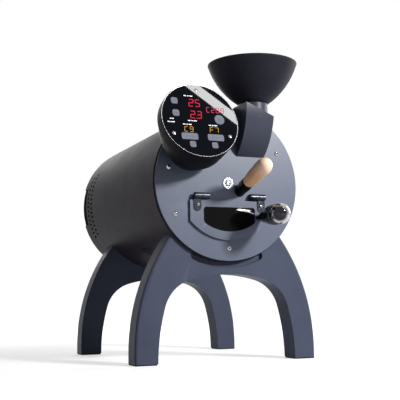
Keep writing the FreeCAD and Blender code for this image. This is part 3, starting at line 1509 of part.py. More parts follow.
def case_loft(shrink, low):
    """The display case's tapering back as a loft from its round front to its foot on the faceplate."""
    sections = []
    radius = s.display_r - shrink
    front = DOC.addObject("Part::Circle", "Circle")
    bind(front, "Radius", radius)
    bind(front, ".Placement.Base.z", -s.case_deep)
    sections.append(front)
    # the foot circle lies in the faceplate's plane, so in the glass frame it is turned back by the tilt
    across = s.case_foot_x - s.display_x
    out = s.display_out - low
    rise = s.case_foot_up - s.display_up
    tilt_s, tilt_c = sine(s.display_tilt), cosine(s.display_tilt)
    foot_y = rise * tilt_c + out * tilt_s
    foot_z = rise * tilt_s - out * tilt_c
    middle = DOC.addObject("Part::Circle", "Circle")
    bind(middle, "Radius", (radius + s.case_foot_r - shrink) / 2 + s.case_bulge)
    middle.Placement = Placement(Vector(), Rotation(AXIS_X, 10))
    bind(middle, ".Placement.Base.x", across / 2)
    bind(middle, ".Placement.Base.y", foot_y / 2)
    bind(middle, ".Placement.Base.z", (foot_z - s.case_deep) / 2)
    bind(middle, ".Placement.Rotation.Angle", s.display_tilt / 2)
    sections.append(middle)
    foot = DOC.addObject("Part::Circle", "Circle")
    bind(foot, "Radius", s.case_foot_r - shrink)
    foot.Placement = Placement(Vector(), Rotation(AXIS_X, 10))
    bind(foot, ".Placement.Base.x", across)
    bind(foot, ".Placement.Base.y", foot_y)
    bind(foot, ".Placement.Base.z", foot_z)
    bind(foot, ".Placement.Rotation.Angle", s.display_tilt)
    sections.append(foot)
    return loft(*sections)


def make_display_case():
    """The display's case: a short drum that tapers down to the faceplate, hollow, with three screw bosses."""
    body = fuse(cylinder(s.display_r, s.case_deep - s.bezel_high, (0, 0, -s.case_deep)), case_loft(0, 0))
    lip_r = s.display_r - s.bezel_wide - s.fit
    lip = cylinder(lip_r, s.case_deep + seat, (0, 0, -s.case_deep))
    cavity_r = s.display_r - s.bezel_wide - s.glass_lip
    cavity = fuse(cylinder(cavity_r, s.case_deep + s.over, (0, 0, -s.case_deep)),
                  case_loft(s.display_r - cavity_r, -s.over))
    hollow = cut(fuse(body, lip), cavity)
    bosses = []
    for angle in map(dim, SCREW_SPOTS):
        x, y = around(s.disc_screw_ring, angle)
        boss = cylinder(s.disc_screw_r + s.over, s.case_deep + seat, (x, y, -s.case_deep))
        side_x, side_y = around(s.disc_screw_r, angle - 90)
        web = primitive("Box", (x + side_x, y + side_y, -s.case_deep), (AXIS_Z, angle),
                        Length=lip_r - s.disc_screw_ring, Width=2 * s.disc_screw_r,
                        Height=s.case_deep + seat)
        bosses.append(common(fuse(boss, web), cylinder(lip_r, s.case_deep + seat, (0, 0, -s.case_deep))))
    holes = []
    for angle in SCREW_SPOTS:
        x, y = around(s.disc_screw_ring, angle)
        holes.append(cylinder(s.pin_r + s.fit, s.disc_screw_long + s.over,
                              (x, y, -s.disc_screw_long - s.over)))
    node("display_case", cut(fuse(hollow, *bosses), *holes), GLASS)


def make_bezel():
    node("bezel_ring", tube(s.display_r, s.display_r - s.bezel_wide, s.bezel_high, (0, 0, -s.bezel_high)),
         GLASS)


def key_spots():
    """Each key as its name, kind, middle and half sizes on the glass."""
    keys = [("key_up", "square", s.time_key_x, s.up_key_y, s.time_key_half, s.time_key_half),
            ("key_down", "square", s.time_key_x, s.down_key_y, s.time_key_half, s.time_key_half),
            ("key_start", "round", s.start_key_x, s.start_key_y, s.start_key_r, s.start_key_r),
            ("rocker_left", "square", -s.rocker_x, s.rocker_y, s.rocker_half, s.rocker_half_high),
            ("rocker_right", "square", s.rocker_x, s.rocker_y, s.rocker_half, s.rocker_half_high),
            ("key_mode_left", "square", -s.mode_key_x, s.mode_key_y, s.mode_key_half, s.mode_key_half),
            ("key_mode_right", "square", s.mode_key_x, s.mode_key_y, s.mode_key_half, s.mode_key_half)]
    return keys


def key_block(kind, x, y, half_x, half_y, grow, low, high):
    """A key's solid, or with grow its clearance hole."""
    if kind == "round":
        return cylinder(half_x + grow, high - low, (x, y, low))
    return centred_box(half_x + grow, half_y + grow, high - low, (x, y, low))


def make_display_glass():
    disc = cylinder(s.display_r - s.bezel_wide - s.fit, s.glass_disc_thick, (0, 0, seat))
    holes = [key_block(kind, x, y, half_x, half_y, s.button_fit, seat - s.over, s.over)
             for _, kind, x, y, half_x, half_y in key_spots()]
    for angle in SCREW_SPOTS:
        x, y = around(s.disc_screw_ring, angle)
        holes.append(cylinder(s.pin_r + s.fit, 3 * s.over, (x, y, seat - s.over)))
    node("display_glass", cut(disc, *holes), GLASS)


def make_display_screws():
    screws = []
    for angle in SCREW_SPOTS:
        x, y = around(s.disc_screw_ring, angle)
        face = seat + s.glass_disc_thick
        screws.append(screw(x, y, face, s.disc_screw_r, s.disc_screw_high, s.pin_r, s.disc_screw_long))
    node("display_screws", group(*screws), GLASS)


def make_display_board():
    """The control board behind the glass, on its three feet, with five digit modules."""
    z = -s.board_back
    board = cylinder(s.display_board_r, s.display_board_thick, (0, 0, z))
    feet = []
    for angle in (0, 120, 240):
        x, y = around(s.disc_screw_ring - s.disc_screw_r - s.over, angle)
        arm = s.display_r - s.bezel_wide - s.glass_lip - s.fit
        side_x, side_y = around(s.over, dim(angle) - 90)
        feet.append(common(primitive("Box", (side_x, side_y, z), (AXIS_Z, angle), Length=arm,
                                     Width=2 * s.over, Height=s.display_board_thick),
                           cylinder(arm, s.display_board_thick, (0, 0, z))))
    top = z + s.display_board_thick
    modules = []
    spots = [(s.red_digit_x, s.red_digit_high_y, s.red_digit_half, s.red_digit_half_high),
             (s.red_digit_x, s.red_digit_low_y, s.red_digit_half, s.red_digit_half_high),
             (s.side_digit_x, s.side_digit_y, s.side_digit_half, s.side_digit_half_high),
             (-s.amber_digit_x, s.amber_digit_y, s.amber_digit_half, s.amber_digit_half_high),
             (s.amber_digit_x, s.amber_digit_y, s.amber_digit_half, s.amber_digit_half_high)]
    for x, y, half_x, half_y in spots:
        modules.append(centred_box(half_x, half_y, s.digit_deep, (x, y, top)))
    node("display_board", group(fuse(board, *feet), *modules), GLASS)


def make_keys():
    """Seven keys that stand a little proud of the glass, each over its own switch on the board."""
    low = s.display_board_thick + s.button_travel + s.play - s.board_back
    for name, kind, x, y, half_x, half_y in key_spots():
        node(name, key_block(kind, x, y, half_x, half_y, 0, low, s.button_proud), GLASS)


# ---------------------------------------------------------------- build and write

def build():
    make_faceplate()
    make_casing_screws()
    make_tie_rods()
    make_barrel_shell()
    make_bulkhead()
    make_rear_cover()
    make_legs()
    make_foot_pads()
    make_leg_screws()
    make_drum_shell()
    make_drum_spider()
    make_drum_back()
    make_front_axle()
    make_axle_bolt()
    make_rear_bearing()
    make_drum_shaft()
    make_gears()
    make_motor_bracket()
    make_drum_motor()
    make_insulation_sleeve()
    make_induction_coil()
    make_bean_sensor()
    make_exhaust_duct()
    make_exhaust_fan()
    make_fan_motor()
    make_chaff_basket()
    make_board_tray()
    make_power_board()
    make_cooling_fan()
    make_mains_inlet()
    make_power_switch()
    make_door_frame()
    make_door_glass()
    make_hinges()
    make_knob()
    make_trier_socket()
    make_trier_sleeve()
    make_trier_scoop()
    make_trier_handle()
    make_chute()
    make_funnel()
    make_display_case()
    make_bezel()
    make_display_glass()
    make_display_screws()
    make_display_board()
    make_keys()
    DOC.recompute()


def check():
    """Stop if any object failed or any sub-part is empty or invalid."""
    for obj in DOC.Objects:
        if "Invalid" in obj.State or "Error" in obj.State:
            raise RuntimeError(f"{obj.Name} ({obj.Label}) failed: {obj.State}")
    for piece in NODES:
        if piece.Shape.isNull() or not piece.Shape.isValid() or not piece.Shape.Solids:
            raise RuntimeError(f"{piece.Label} has no valid solid")


def write():
    os.makedirs("parts", exist_ok=True)
    for piece in NODES:
        piece.Shape.exportStep(f"parts/{piece.Label}.step")
    low = [min(getattr(p.Shape.BoundBox, axis + "Min") for p in NODES) for axis in "XYZ"]
    high = [max(getattr(p.Shape.BoundBox, axis + "Max") for p in NODES) for axis in "XYZ"]
    print(len(NODES), "nodes; lowest corner", low, "highest corner", high)


build()
check()
write()
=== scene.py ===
"""Countertop coffee bean roaster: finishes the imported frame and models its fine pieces.

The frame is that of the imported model: +Z up, the faceplate towards -Y, the origin on the table.  Lengths are in
metres, except the profiles given to in_metres and the sizes that a class's own words call millimetres.  Pieces
are modelled at the origin of a local stand, then settled into place.
"""
from __future__ import annotations

import json
import logging
import math
from collections.abc import Callable, Iterator, Sequence
from contextlib import contextmanager
from dataclasses import dataclass, field
from enum import Enum

import bmesh
import bpy
from mathutils import Matrix, Vector

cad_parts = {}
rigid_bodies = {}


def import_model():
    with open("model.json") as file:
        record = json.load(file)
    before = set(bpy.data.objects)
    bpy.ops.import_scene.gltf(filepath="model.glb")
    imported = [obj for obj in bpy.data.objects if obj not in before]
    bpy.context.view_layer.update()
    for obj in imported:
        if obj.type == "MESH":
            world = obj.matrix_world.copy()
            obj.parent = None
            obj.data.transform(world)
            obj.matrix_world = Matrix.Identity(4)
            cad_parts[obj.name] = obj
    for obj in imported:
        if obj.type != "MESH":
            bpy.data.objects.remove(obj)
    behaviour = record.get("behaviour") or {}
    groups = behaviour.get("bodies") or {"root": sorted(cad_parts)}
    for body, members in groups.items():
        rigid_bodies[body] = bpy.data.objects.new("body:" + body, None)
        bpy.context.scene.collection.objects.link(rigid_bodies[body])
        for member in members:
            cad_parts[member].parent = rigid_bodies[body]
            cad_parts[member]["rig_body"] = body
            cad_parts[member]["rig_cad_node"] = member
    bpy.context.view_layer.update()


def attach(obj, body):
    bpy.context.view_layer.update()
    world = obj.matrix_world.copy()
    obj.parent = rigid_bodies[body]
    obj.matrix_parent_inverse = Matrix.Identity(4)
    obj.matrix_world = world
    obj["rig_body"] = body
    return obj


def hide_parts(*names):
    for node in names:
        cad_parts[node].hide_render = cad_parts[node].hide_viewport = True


LOG = logging.getLogger("roaster")
MM = 0.001
FACE_Y = -0.1823
AXIS_Z = 0.3084
WELD = 0.00001
FLAT_TURN = math.radians(0.6)
POLE_RADIUS = 0.00002
POLE_WELD = 0.000004
FACING = 0.9

Colour = tuple[float, float, float]
Place = tuple[float, float, float]


def srgb(red: float, green: float, blue: float) -> Colour:
    """Turn a display colour, each channel 0 to 255, into scene-linear values."""
    return tuple(c / 255 / 12.92 if c <= 10 else ((c / 255 + 0.055) / 1.055) ** 2.4 for c in (red, green, blue))


def in_metres(pairs: Sequence[tuple[float, float]]) -> list[tuple[float, float]]:
    """Turn (radius, height) pairs in millimetres into metres."""
    return [(radius * MM, height * MM) for radius, height in pairs]


def belong(piece: bpy.types.Object, body: str = "", node: str = "") -> None:
    """Tell the frame where a piece belongs.

    Args:
        piece: The finished piece.
        body: The body it rides on, if it is not a recut node.
        node: The CAD node it stands for, if it is not a recut node.
    """
    if body:
        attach(piece, body)
    if node:
        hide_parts(node)


@dataclass(frozen=True)
class Stand:
    """A local frame: its origin in the row frame and its turn about X."""

    x: float = 0.0
    y: float = FACE_Y
    z: float = AXIS_Z
    turn: float = 90.0

    def matrix(self) -> Matrix:
        """The local frame as a matrix."""
        return Matrix.Translation((self.x, self.y, self.z)) @ Matrix.Rotation(math.radians(self.turn), 4, "X")


FRONT = Stand()
KNOB = Stand(x=0.056, z=AXIS_Z - 0.0592)
TRIER = Stand(x=0.023, z=AXIS_Z - 0.0115, turn=90 - 17.2)
GLASS = Stand(x=-0.0804, y=FACE_Y - 0.070, z=AXIS_Z + 0.094, turn=90 - 17.8)
FUNNEL = Stand(x=0.0434, y=FACE_Y - 0.0175, z=AXIS_Z + 0.1399, turn=0.0)


# ------------------------------------------------------------------ modelling bench

class Bench:
    """The mesh operators that the pieces are made with, each acting on one piece."""

    @staticmethod
    def take(piece: bpy.types.Object) -> bpy.types.Object:
        """Make a piece the only selected and the active one.

        Args:
            piece: The piece to take.

        Returns:
            The same piece.
        """
        if bpy.context.object and bpy.context.object.mode != "OBJECT":
            bpy.ops.object.mode_set(mode="OBJECT")
        bpy.ops.object.select_all(action="DESELECT")
        piece.select_set(True)
        bpy.context.view_layer.objects.active = piece
        return piece

    @staticmethod
    def clear() -> None:
        """Deselect everything before something is added."""
        if bpy.context.object and bpy.context.object.mode != "OBJECT":
            bpy.ops.object.mode_set(mode="OBJECT")
        bpy.ops.object.select_all(action="DESELECT")

    @staticmethod
    @contextmanager
    def editing(piece: bpy.types.Object, mode: str = "FACE") -> Iterator[None]:
        """Stay in edit mode on a piece, with nothing selected at first.

        Args:
            piece: The mesh to edit.
            mode: VERT, EDGE or FACE selection.
        """
        Bench.take(piece)
        bpy.ops.object.mode_set(mode="EDIT")
        bpy.ops.mesh.select_mode(type=mode)
        bpy.ops.mesh.select_all(action="DESELECT")
        yield
        bpy.ops.object.mode_set(mode="OBJECT")

    @staticmethod
    def pick(piece: bpy.types.Object, kind: str, test: Callable[[object], bool]) -> int:
        """Select the vertices, edges or faces that pass a test, in edit mode.

        Args:
            piece: The mesh being edited.
            kind: "verts", "edges" or "faces".
            test: Says whether an element is wanted.

        Returns:
            How many were selected.
        """
        mesh = bmesh.from_edit_mesh(piece.data)
        bpy.ops.mesh.select_all(action="DESELECT")
        wanted = [item for item in getattr(mesh, kind) if test(item)]
        for item in wanted:
            item.select_set(True)
        mesh.select_flush_mode()
        bmesh.update_edit_mesh(piece.data)
        return len(wanted)

    @staticmethod
    def finish(piece: bpy.types.Object, kind: str, **settings: object) -> None:
        """Add a modifier with its settings and apply it.

        Args:
            piece: The piece it works on.
            kind: The modifier's type name.
            settings: Its properties and their values.
        """
        Bench.take(piece)
        modifier = piece.modifiers.new(kind.title(), kind)
        for name, value in settings.items():
            setattr(modifier, name, value)
        bpy.ops.object.modifier_apply(modifier=modifier.name)

    @staticmethod
    def soften(piece: bpy.types.Object, width: float, segments: int = 2, angle: float = 32.0) -> None:
        """Round the sharp edges by a width, and shade the rest smooth.

        Args:
            piece: The piece to soften.
            width: How far each rounding reaches.
            segments: Steps in each rounding.
            angle: Edges sharper than this, in degrees, are rounded.
        """
        Bench.finish(piece, "BEVEL", width=width, segments=segments, limit_method="ANGLE",
                     angle_limit=math.radians(angle), use_clamp_overlap=True, harden_normals=False)
        Bench.smooth(piece, angle)
        Bench.finish(piece, "WEIGHTED_NORMAL", keep_sharp=True, weight=60)

    @staticmethod
    def smooth(piece: bpy.types.Object, angle: float = 32.0) -> None:
        """Shade smooth, with edges over the angle left sharp."""
        Bench.take(piece)
        bpy.ops.object.shade_smooth_by_angle(angle=math.radians(angle))

    @staticmethod
    def settle(piece: bpy.types.Object, stand: Stand) -> bpy.types.Object:
        """Put a piece modelled about the origin into its stand, with its place in its mesh.

        Args:
            piece: The piece, about the origin.
            stand: Where it goes.

        Returns:
            The same piece.
        """
        Bench.take(piece)
        bpy.ops.object.transform_apply(location=True, rotation=True, scale=True)
        piece.matrix_world = stand.matrix()
        bpy.context.view_layer.update()
        bpy.ops.object.transform_apply(location=True, rotation=True, scale=True)
        return piece

    @staticmethod
    def name(piece: bpy.types.Object, label: str) -> bpy.types.Object:
        """Name a piece and its mesh.

        Args:
            piece: The piece.
            label: Its name.

        Returns:
            The same piece.
        """
        piece.name = label
        piece.data.name = label
        return piece

    @staticmethod
    def copy(piece: bpy.types.Object, label: str, move: Matrix) -> bpy.types.Object:
        """A copy of a piece with its own mesh, moved by a matrix and left at the origin.

        Args:
            piece: The piece to copy.
            label: The copy's name.
            move: Where the copy goes, from where the piece is.

        Returns:
            The copy.
        """
        Bench.take(piece)
        bpy.ops.object.duplicate()
        twin = bpy.context.object
        twin.matrix_world = move @ piece.matrix_world
        bpy.context.view_layer.update()
        bpy.ops.object.transform_apply(location=True, rotation=True, scale=True)
        return Bench.name(twin, label)

    @staticmethod
    def join(pieces: Sequence[bpy.types.Object], label: str) -> bpy.types.Object:
        """Join loose parts of one piece into one mesh.

        Args:
            pieces: The parts.
            label: The name of the whole.

        Returns:
            The whole.
        """
        Bench.take(pieces[0])
        for other in pieces[1:]:
            other.select_set(True)
        bpy.ops.object.join()
        return Bench.name(bpy.context.object, label)

    @staticmethod
    def carve(piece: bpy.types.Object, tool: bpy.types.Object) -> None:
        """Cut a tool's shape out of a piece and throw the tool away."""
        Bench.finish(piece, "BOOLEAN", object=tool, operation="DIFFERENCE", solver="EXACT")
        bpy.data.objects.remove(tool)

    @staticmethod
    def recut(node: str, label: str, soft: float = 0.0, angle: float = 32.0) -> bpy.types.Object:
        """A merged copy of a CAD node, with flat faces joined up and its edges rounded.

        Args:
            node: The CAD node, which the copy then stands for.
            label: The copy's name.
            soft: The width of its edge rounding, or 0 for none.
            angle: Edges sharper than this, in degrees, are rounded.

        Returns:
            The new piece.
        """
        source = bpy.data.objects[node]
        body = source["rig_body"]
        Bench.take(source)
        bpy.ops.object.duplicate()
        piece = bpy.context.object
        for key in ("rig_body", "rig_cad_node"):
            if key in piece:
                del piece[key]
        piece.parent = None
        piece.matrix_world = Matrix.Identity(4)
        Bench.name(piece, label)
        piece.data.materials.clear()
        with Bench.editing(piece, "VERT"):
            bpy.ops.mesh.select_all(action="SELECT")
            bpy.ops.mesh.remove_doubles(threshold=WELD)
            bpy.ops.mesh.customdata_custom_splitnormals_clear()
            bpy.ops.mesh.dissolve_limited(angle_limit=FLAT_TURN)
        if soft:
            Bench.soften(piece, soft, angle=angle)
        else:
            Bench.smooth(piece, angle)
        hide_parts(node)
        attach(piece, body)
        return piece

    @staticmethod
    def turned(label: str, stations: Sequence[tuple[float, float]], count: int = 64,
               closed: bool = False) -> bpy.types.Object:
        """Turn a piece about z by drawing a ring out through stations.

        Args:
            label: The piece's name.
            stations: (radius, height) pairs; a radius of 0 is a pole.
            count: Points around.
            closed: Whether the last station joins back to the first, as for a ring.

        Returns:
            The new piece, with its faces pointing outwards.
        """
        rings = [(max(r, POLE_RADIUS), z) for r, z in stations]
        if closed:
            rings.append(rings[0])
        Bench.clear()
        bpy.ops.mesh.primitive_circle_add(vertices=count, radius=rings[0][0], location=(0, 0, rings[0][1]))
        piece = Bench.name(bpy.context.object, label)
        bpy.ops.object.transform_apply(location=True, rotation=True, scale=True)
        with Bench.editing(piece, "VERT"):
            bpy.ops.mesh.select_all(action="SELECT")
            last_r, last_z = rings[0]
            for radius, height in rings[1:]:
                bpy.ops.mesh.extrude_region_move(TRANSFORM_OT_translate={"value": (0, 0, height - last_z)})
                ratio = radius / last_r
                bpy.ops.transform.resize(value=(ratio, ratio, 1), center_override=(0, 0, height))
                last_r, last_z = radius, height
            for radius, height in (stations[0], stations[-1]):
                if radius == 0 and not closed:
                    Bench.pick(piece, "verts", lambda v, h=height: abs(v.co.z - h) < 1e-6
                               and math.hypot(v.co.x, v.co.y) < 3 * POLE_RADIUS)
                    bpy.ops.mesh.merge(type="CENTER")
            bpy.ops.mesh.select_all(action="SELECT")
            bpy.ops.mesh.remove_doubles(threshold=POLE_WELD)
            bpy.ops.mesh.normals_make_consistent(inside=False)
        return piece


# ------------------------------------------------------------------ finishes

class Nodes:
    """A short hand for building a material's node tree."""

    def __init__(self, label: str) -> None:
        """Start an empty material with a Principled shader.

        Args:
            label: The material's name.
        """
        self.material = bpy.data.materials.new(label)
        self.material.use_nodes = True
        self.tree = self.material.node_tree
        self.shader = self.tree.nodes["Principled BSDF"]
        self.output = self.tree.nodes["Material Output"]
        self.place = self.add("ShaderNodeTexCoord").outputs["Object"]

    def add(self, kind: str, **settings: object) -> bpy.types.Node:
        """Add a node and set its properties or the defaults of its inputs.

        Args:
            kind: The node's type name.
            settings: Property names, or input names with spaces written as double underscores.

        Returns:
            The node.
        """
        node = self.tree.nodes.new(kind)
        for name, value in settings.items():
            if hasattr(node, name):
                setattr(node, name, value)
            else:
                node.inputs[name.replace("__", " ")].default_value = value
        return node

    def link(self, source: bpy.types.NodeSocket, target: bpy.types.NodeSocket) -> None:
        """Join an output to an input."""
        self.tree.links.new(source, target)

    def set(self, **values: object) -> None:
        """Set the shader's own sockets; double underscores stand for spaces."""
        for name, value in values.items():
            self.shader.inputs[name.replace("__", " ")].default_value = value

    def noise(self, scale: float, detail: float = 3.0, roughness: float = 0.5,
              stretch: Place = (1, 1, 1)) -> bpy.types.NodeSocket:
        """A noise on object coordinates, stretched along the axes.

        Args:
            scale: How fine it is.
            detail: How many finer layers it has.
            roughness: How strong the finer layers are.
            stretch: A factor along each axis; a small one draws the marks out.

        Returns:
            Its value, 0 to 1.
        """
        mapping = self.add("ShaderNodeMapping")
        mapping.inputs["Scale"].default_value = stretch
        self.link(self.place, mapping.inputs["Vector"])
        node = self.add("ShaderNodeTexNoise", Scale=scale, Detail=detail, Roughness=roughness)
        self.link(mapping.outputs["Vector"], node.inputs["Vector"])
        return node.outputs["Fac"]

    def ramp(self, source: bpy.types.NodeSocket, low: Colour, high: Colour, start: float = 0.35,
             end: float = 0.65) -> bpy.types.NodeSocket:
        """Map a value onto a run between two colours.

        Args:
            source: The value.
            low: The colour at the start and below.
            high: The colour at the end and above.
            start: The value where the run starts.
            end: The value where it ends.

        Returns:
            The colour.
        """
        node = self.add("ShaderNodeValToRGB")
        node.color_ramp.elements[0].position = start
        node.color_ramp.elements[0].color = (*low, 1)
        node.color_ramp.elements[1].position = end
        node.color_ramp.elements[1].color = (*high, 1)
        self.link(source, node.inputs["Fac"])
        return node.outputs["Color"]

    def span(self, source: bpy.types.NodeSocket, low: float, high: float) -> bpy.types.NodeSocket:
        """Map a 0 to 1 value onto a range.

        Args:
            source: The value.
            low: What 0 becomes.
            high: What 1 becomes.

        Returns:
            The mapped value.
        """
        node = self.add("ShaderNodeMapRange", To__Min=low, To__Max=high)
        self.link(source, node.inputs["Value"])
        return node.outputs["Result"]

    def blend(self, factor: bpy.types.NodeSocket, source: bpy.types.NodeSocket,
              colour: Colour) -> bpy.types.NodeSocket:
        """Lay a plain colour over a source by a factor.

        Args:
            factor: How much of the plain colour shows, 0 to 1.
            source: The colour under it.
            colour: The plain colour.

        Returns:
            The mixed colour.
        """
        node = self.add("ShaderNodeMix", data_type="RGBA")
        self.link(factor, node.inputs["Factor"])
        self.link(source, node.inputs["A"])
        node.inputs["B"].default_value = (*colour, 1)
        return node.outputs["Result"]

    def skin(self, colour: bpy.types.NodeSocket, gloss: bpy.types.NodeSocket, low: float, high: float) -> None:
        """Give the shader its base colour, and a roughness that runs from low to high with a value."""
        self.link(colour, self.shader.inputs["Base Color"])
        self.link(self.span(gloss, low, high), self.shader.inputs["Roughness"])

    def bump(self, source: bpy.types.NodeSocket, distance: float, strength: float = 1.0) -> None:
        """Raise the surface by a value, on top of any bump made before.

        Args:
            source: The value that raises it.
            distance: How far a value of 1 raises it.
            strength: How much of the bump shows.
        """
        node = self.add("ShaderNodeBump", Strength=strength, Distance=distance)
        self.link(source, node.inputs["Height"])
        before = self.shader.inputs["Normal"].links
        if before:
            self.link(before[0].from_socket, node.inputs["Normal"])
        self.link(node.outputs["Normal"], self.shader.inputs["Normal"])


BLACK: Colour = (0, 0, 0)
GREY: Colour = (0.5, 0.5, 0.5)
WHITE: Colour = (1, 1, 1)


def shade(colour: Colour, factor: float) -> Colour:
    """A colour made lighter or darker by a factor."""
    return tuple(min(1.0, c * factor) for c in colour)


@dataclass(frozen=True)
class PowderCoat:
    """Baked powder coat: an orange-peel skin with fine speckle and slightly worn edges."""

    label: str
    colour: Colour
    roughness: float = 0.42
    peel: float = 0.00004
    grain: float = 900.0
    specular: float = 0.5
    speckled: tuple[float, float] = (0.62, 0.72)
    rubbed: tuple[float, float] = (0.53, 0.6)

    def make(self) -> bpy.types.Material:
        """Build the material.

        Returns:
            The material.
        """
        n = Nodes(self.label)
        n.set(Specular__IOR__Level=self.specular)
        body = n.ramp(n.noise(14, 4, 0.6), shade(self.colour, 0.93), shade(self.colour, 1.07), 0.3, 0.7)
        speck = n.ramp(n.noise(self.grain * 2.2, 1), BLACK, WHITE, *self.speckled)
        fleck = n.blend(speck, body, shade(self.colour, 1.25))
        edges = n.ramp(n.add("ShaderNodeNewGeometry").outputs["Pointiness"], BLACK, GREY, *self.rubbed)
        n.skin(n.blend(edges, fleck, shade(self.colour, 1.5)), n.noise(30, 4),
               self.roughness - 0.05, self.roughness + 0.06)
        n.bump(n.noise(self.grain, 2), self.peel, 0.7)
        return n.material


class Lay(Enum):
    """Which way a metal's brush marks run."""

    ALONG_X = (0.03, 1, 1)
    ALONG_Y = (1, 0.03, 1)
    NONE = (1, 1, 1)


@dataclass(frozen=True)
class Metal:
    """Bare, plated or blackened metal with brush marks and faint stains."""

    label: str
    colour: Colour
    roughness: float = 0.3
    lay: Lay = Lay.NONE
    marks: float = 1400.0
    depth: float = 0.000008

    def make(self) -> bpy.types.Material:
        """Build the material.

        Returns:
            The material.
        """
        n = Nodes(self.label)
        n.set(Metallic=1.0)
        stain = n.ramp(n.noise(40, 5, 0.6), shade(self.colour, 0.82), self.colour, 0.3, 0.62)
        marks = n.noise(self.marks, 2, 0.6, self.lay.value)
        n.skin(stain, marks, self.roughness * 0.75, self.roughness * 1.3)
        n.bump(marks, self.depth, 0.6)
        return n.material


@dataclass(frozen=True)
class Chrome:
    """Bright plating: nearly a mirror, with faint haze, and if asked a painted reflection that is dark where the
    surface faces the view and pale towards its outline.
    """

    label: str
    colour: Colour = (0.86, 0.86, 0.88)
    roughness: float = 0.04
    # The pale colour of the painted reflection towards the outline, if any.
    edge: Colour | None = None
    band: tuple[float, float] = (0.2, 0.42)

    def make(self) -> bpy.types.Material:
        """Build the material.

        Returns:
            The material.
        """
        n = Nodes(self.label)
        n.set(Metallic=1.0)
        haze = n.noise(120, 5, 0.65)
        plating = n.ramp(haze, shade(self.colour, 0.94), self.colour, 0.3, 0.6)
        # Painted reflection: the colour runs from the plating where the surface faces the view to the pale edge
        # colour towards its outline.
        if self.edge:
            facing = n.add("ShaderNodeLayerWeight", Blend=0.5).outputs["Facing"]
            plating = n.blend(n.ramp(facing, BLACK, WHITE, *self.band), plating, self.edge)
        n.skin(plating, haze, self.roughness * 0.5, self.roughness * 2.2)
        return n.material


@dataclass(frozen=True)
class Moulded:
    """Moulded plastic or rubber with a fine spark-eroded grain."""

    label: str
    colour: Colour
    roughness: float = 0.45
    grain: float = 1800.0
    depth: float = 0.00002
    specular: float = 0.5
    coat: float = 0.0

    def make(self) -> bpy.types.Material:
        """Build the material.

        Returns:
            The material.
        """
        n = Nodes(self.label)
        n.set(Specular__IOR__Level=self.specular, Coat__Weight=self.coat, Coat__Roughness=0.06)
        tone = n.ramp(n.noise(25, 4, 0.6), shade(self.colour, 0.9), shade(self.colour, 1.1), 0.3, 0.7)
        n.skin(tone, n.noise(60, 4), self.roughness - 0.05, self.roughness + 0.05)
        n.bump(n.noise(self.grain, 2), self.depth, 0.5)
        return n.material


@dataclass(frozen=True)
class SpunMatte:
    """A matte coat over spun metal, with fine streaks that run down the bowl."""

    label: str
    colour: Colour
    roughness: float = 0.6

    def make(self) -> bpy.types.Material:
        """Build the material.

        Returns:
            The material.
        """
        n = Nodes(self.label)
        n.set(Specular__IOR__Level=0.1, Sheen__Weight=0.03, Sheen__Roughness=0.5)
        streak = n.noise(420, 3, 0.6, (1, 1, 0.06))
        mixed = n.add("ShaderNodeMath", operation="MULTIPLY")
        n.link(streak, mixed.inputs[0])
        n.link(n.noise(30, 4, 0.6), mixed.inputs[1])
        tone = n.ramp(mixed.outputs[0], shade(self.colour, 0.75), shade(self.colour, 1.3), 0.14, 0.36)
        n.skin(tone, streak, self.roughness - 0.1, self.roughness + 0.1)
        n.bump(streak, 0.00006, 0.5)
        n.bump(n.noise(1500, 2), 0.00002, 0.5)
        return n.material


@dataclass(frozen=True)
class TurnedWood:
    """Oiled close-grained wood with the grain along the trier, and a painted highlight that makes it paler
    towards its tip.
    """

    label: str
    light: Colour
    dark: Colour
    # The colour of the painted highlight at the tip.
    rubbed: Colour
    pale_from: float = 0.078
    pale_to: float = 0.112
    pale_share: float = 0.7

    def make(self) -> bpy.types.Material:
        """Build the material.

        Returns:
            The material.
        """
        n = Nodes(self.label)
        n.set(Coat__Weight=0.12, Coat__Roughness=0.35, Specular__IOR__Level=0.35)
        moved = n.add("ShaderNodeMapping", Location=(-TRIER.x, -TRIER.y, -TRIER.z))
        along = n.add("ShaderNodeMapping", Rotation=(math.radians(-TRIER.turn), 0, 0))
        thin = n.add("ShaderNodeMapping", Scale=(1, 1, 0.07))
        grain = n.add("ShaderNodeTexNoise", Scale=520, Detail=5, Roughness=0.65, Distortion=0.4)
        rings = n.add("ShaderNodeTexNoise", Scale=110, Detail=3, Roughness=0.5, Distortion=1.2)
        n.link(n.place, moved.inputs["Vector"])
        for before, after in ((moved, along), (along, thin), (thin, grain), (thin, rings)):
            n.link(before.outputs["Vector"], after.inputs["Vector"])
        mixed = n.add("ShaderNodeMix", data_type="FLOAT")
        mixed.inputs["Factor"].default_value = 0.45
        n.link(grain.outputs["Fac"], mixed.inputs["A"])
        n.link(rings.outputs["Fac"], mixed.inputs["B"])
        split = n.add("ShaderNodeSeparateXYZ")
        n.link(along.outputs["Vector"], split.inputs["Vector"])
        # Painted highlight: the pale colour takes a growing share towards the tip.
        tip_highlight = n.add("ShaderNodeMapRange", From__Min=self.pale_from, From__Max=self.pale_to,
                    To__Max=self.pale_share)
        n.link(split.outputs["Z"], tip_highlight.inputs["Value"])
        body = n.ramp(mixed.outputs["Result"], self.dark, self.light, 0.36, 0.6)
        n.skin(n.blend(tip_highlight.outputs["Result"], body, self.rubbed), grain.outputs["Fac"], 0.42, 0.6)
        n.bump(grain.outputs["Fac"], 0.00004, 0.5)
        return n.material


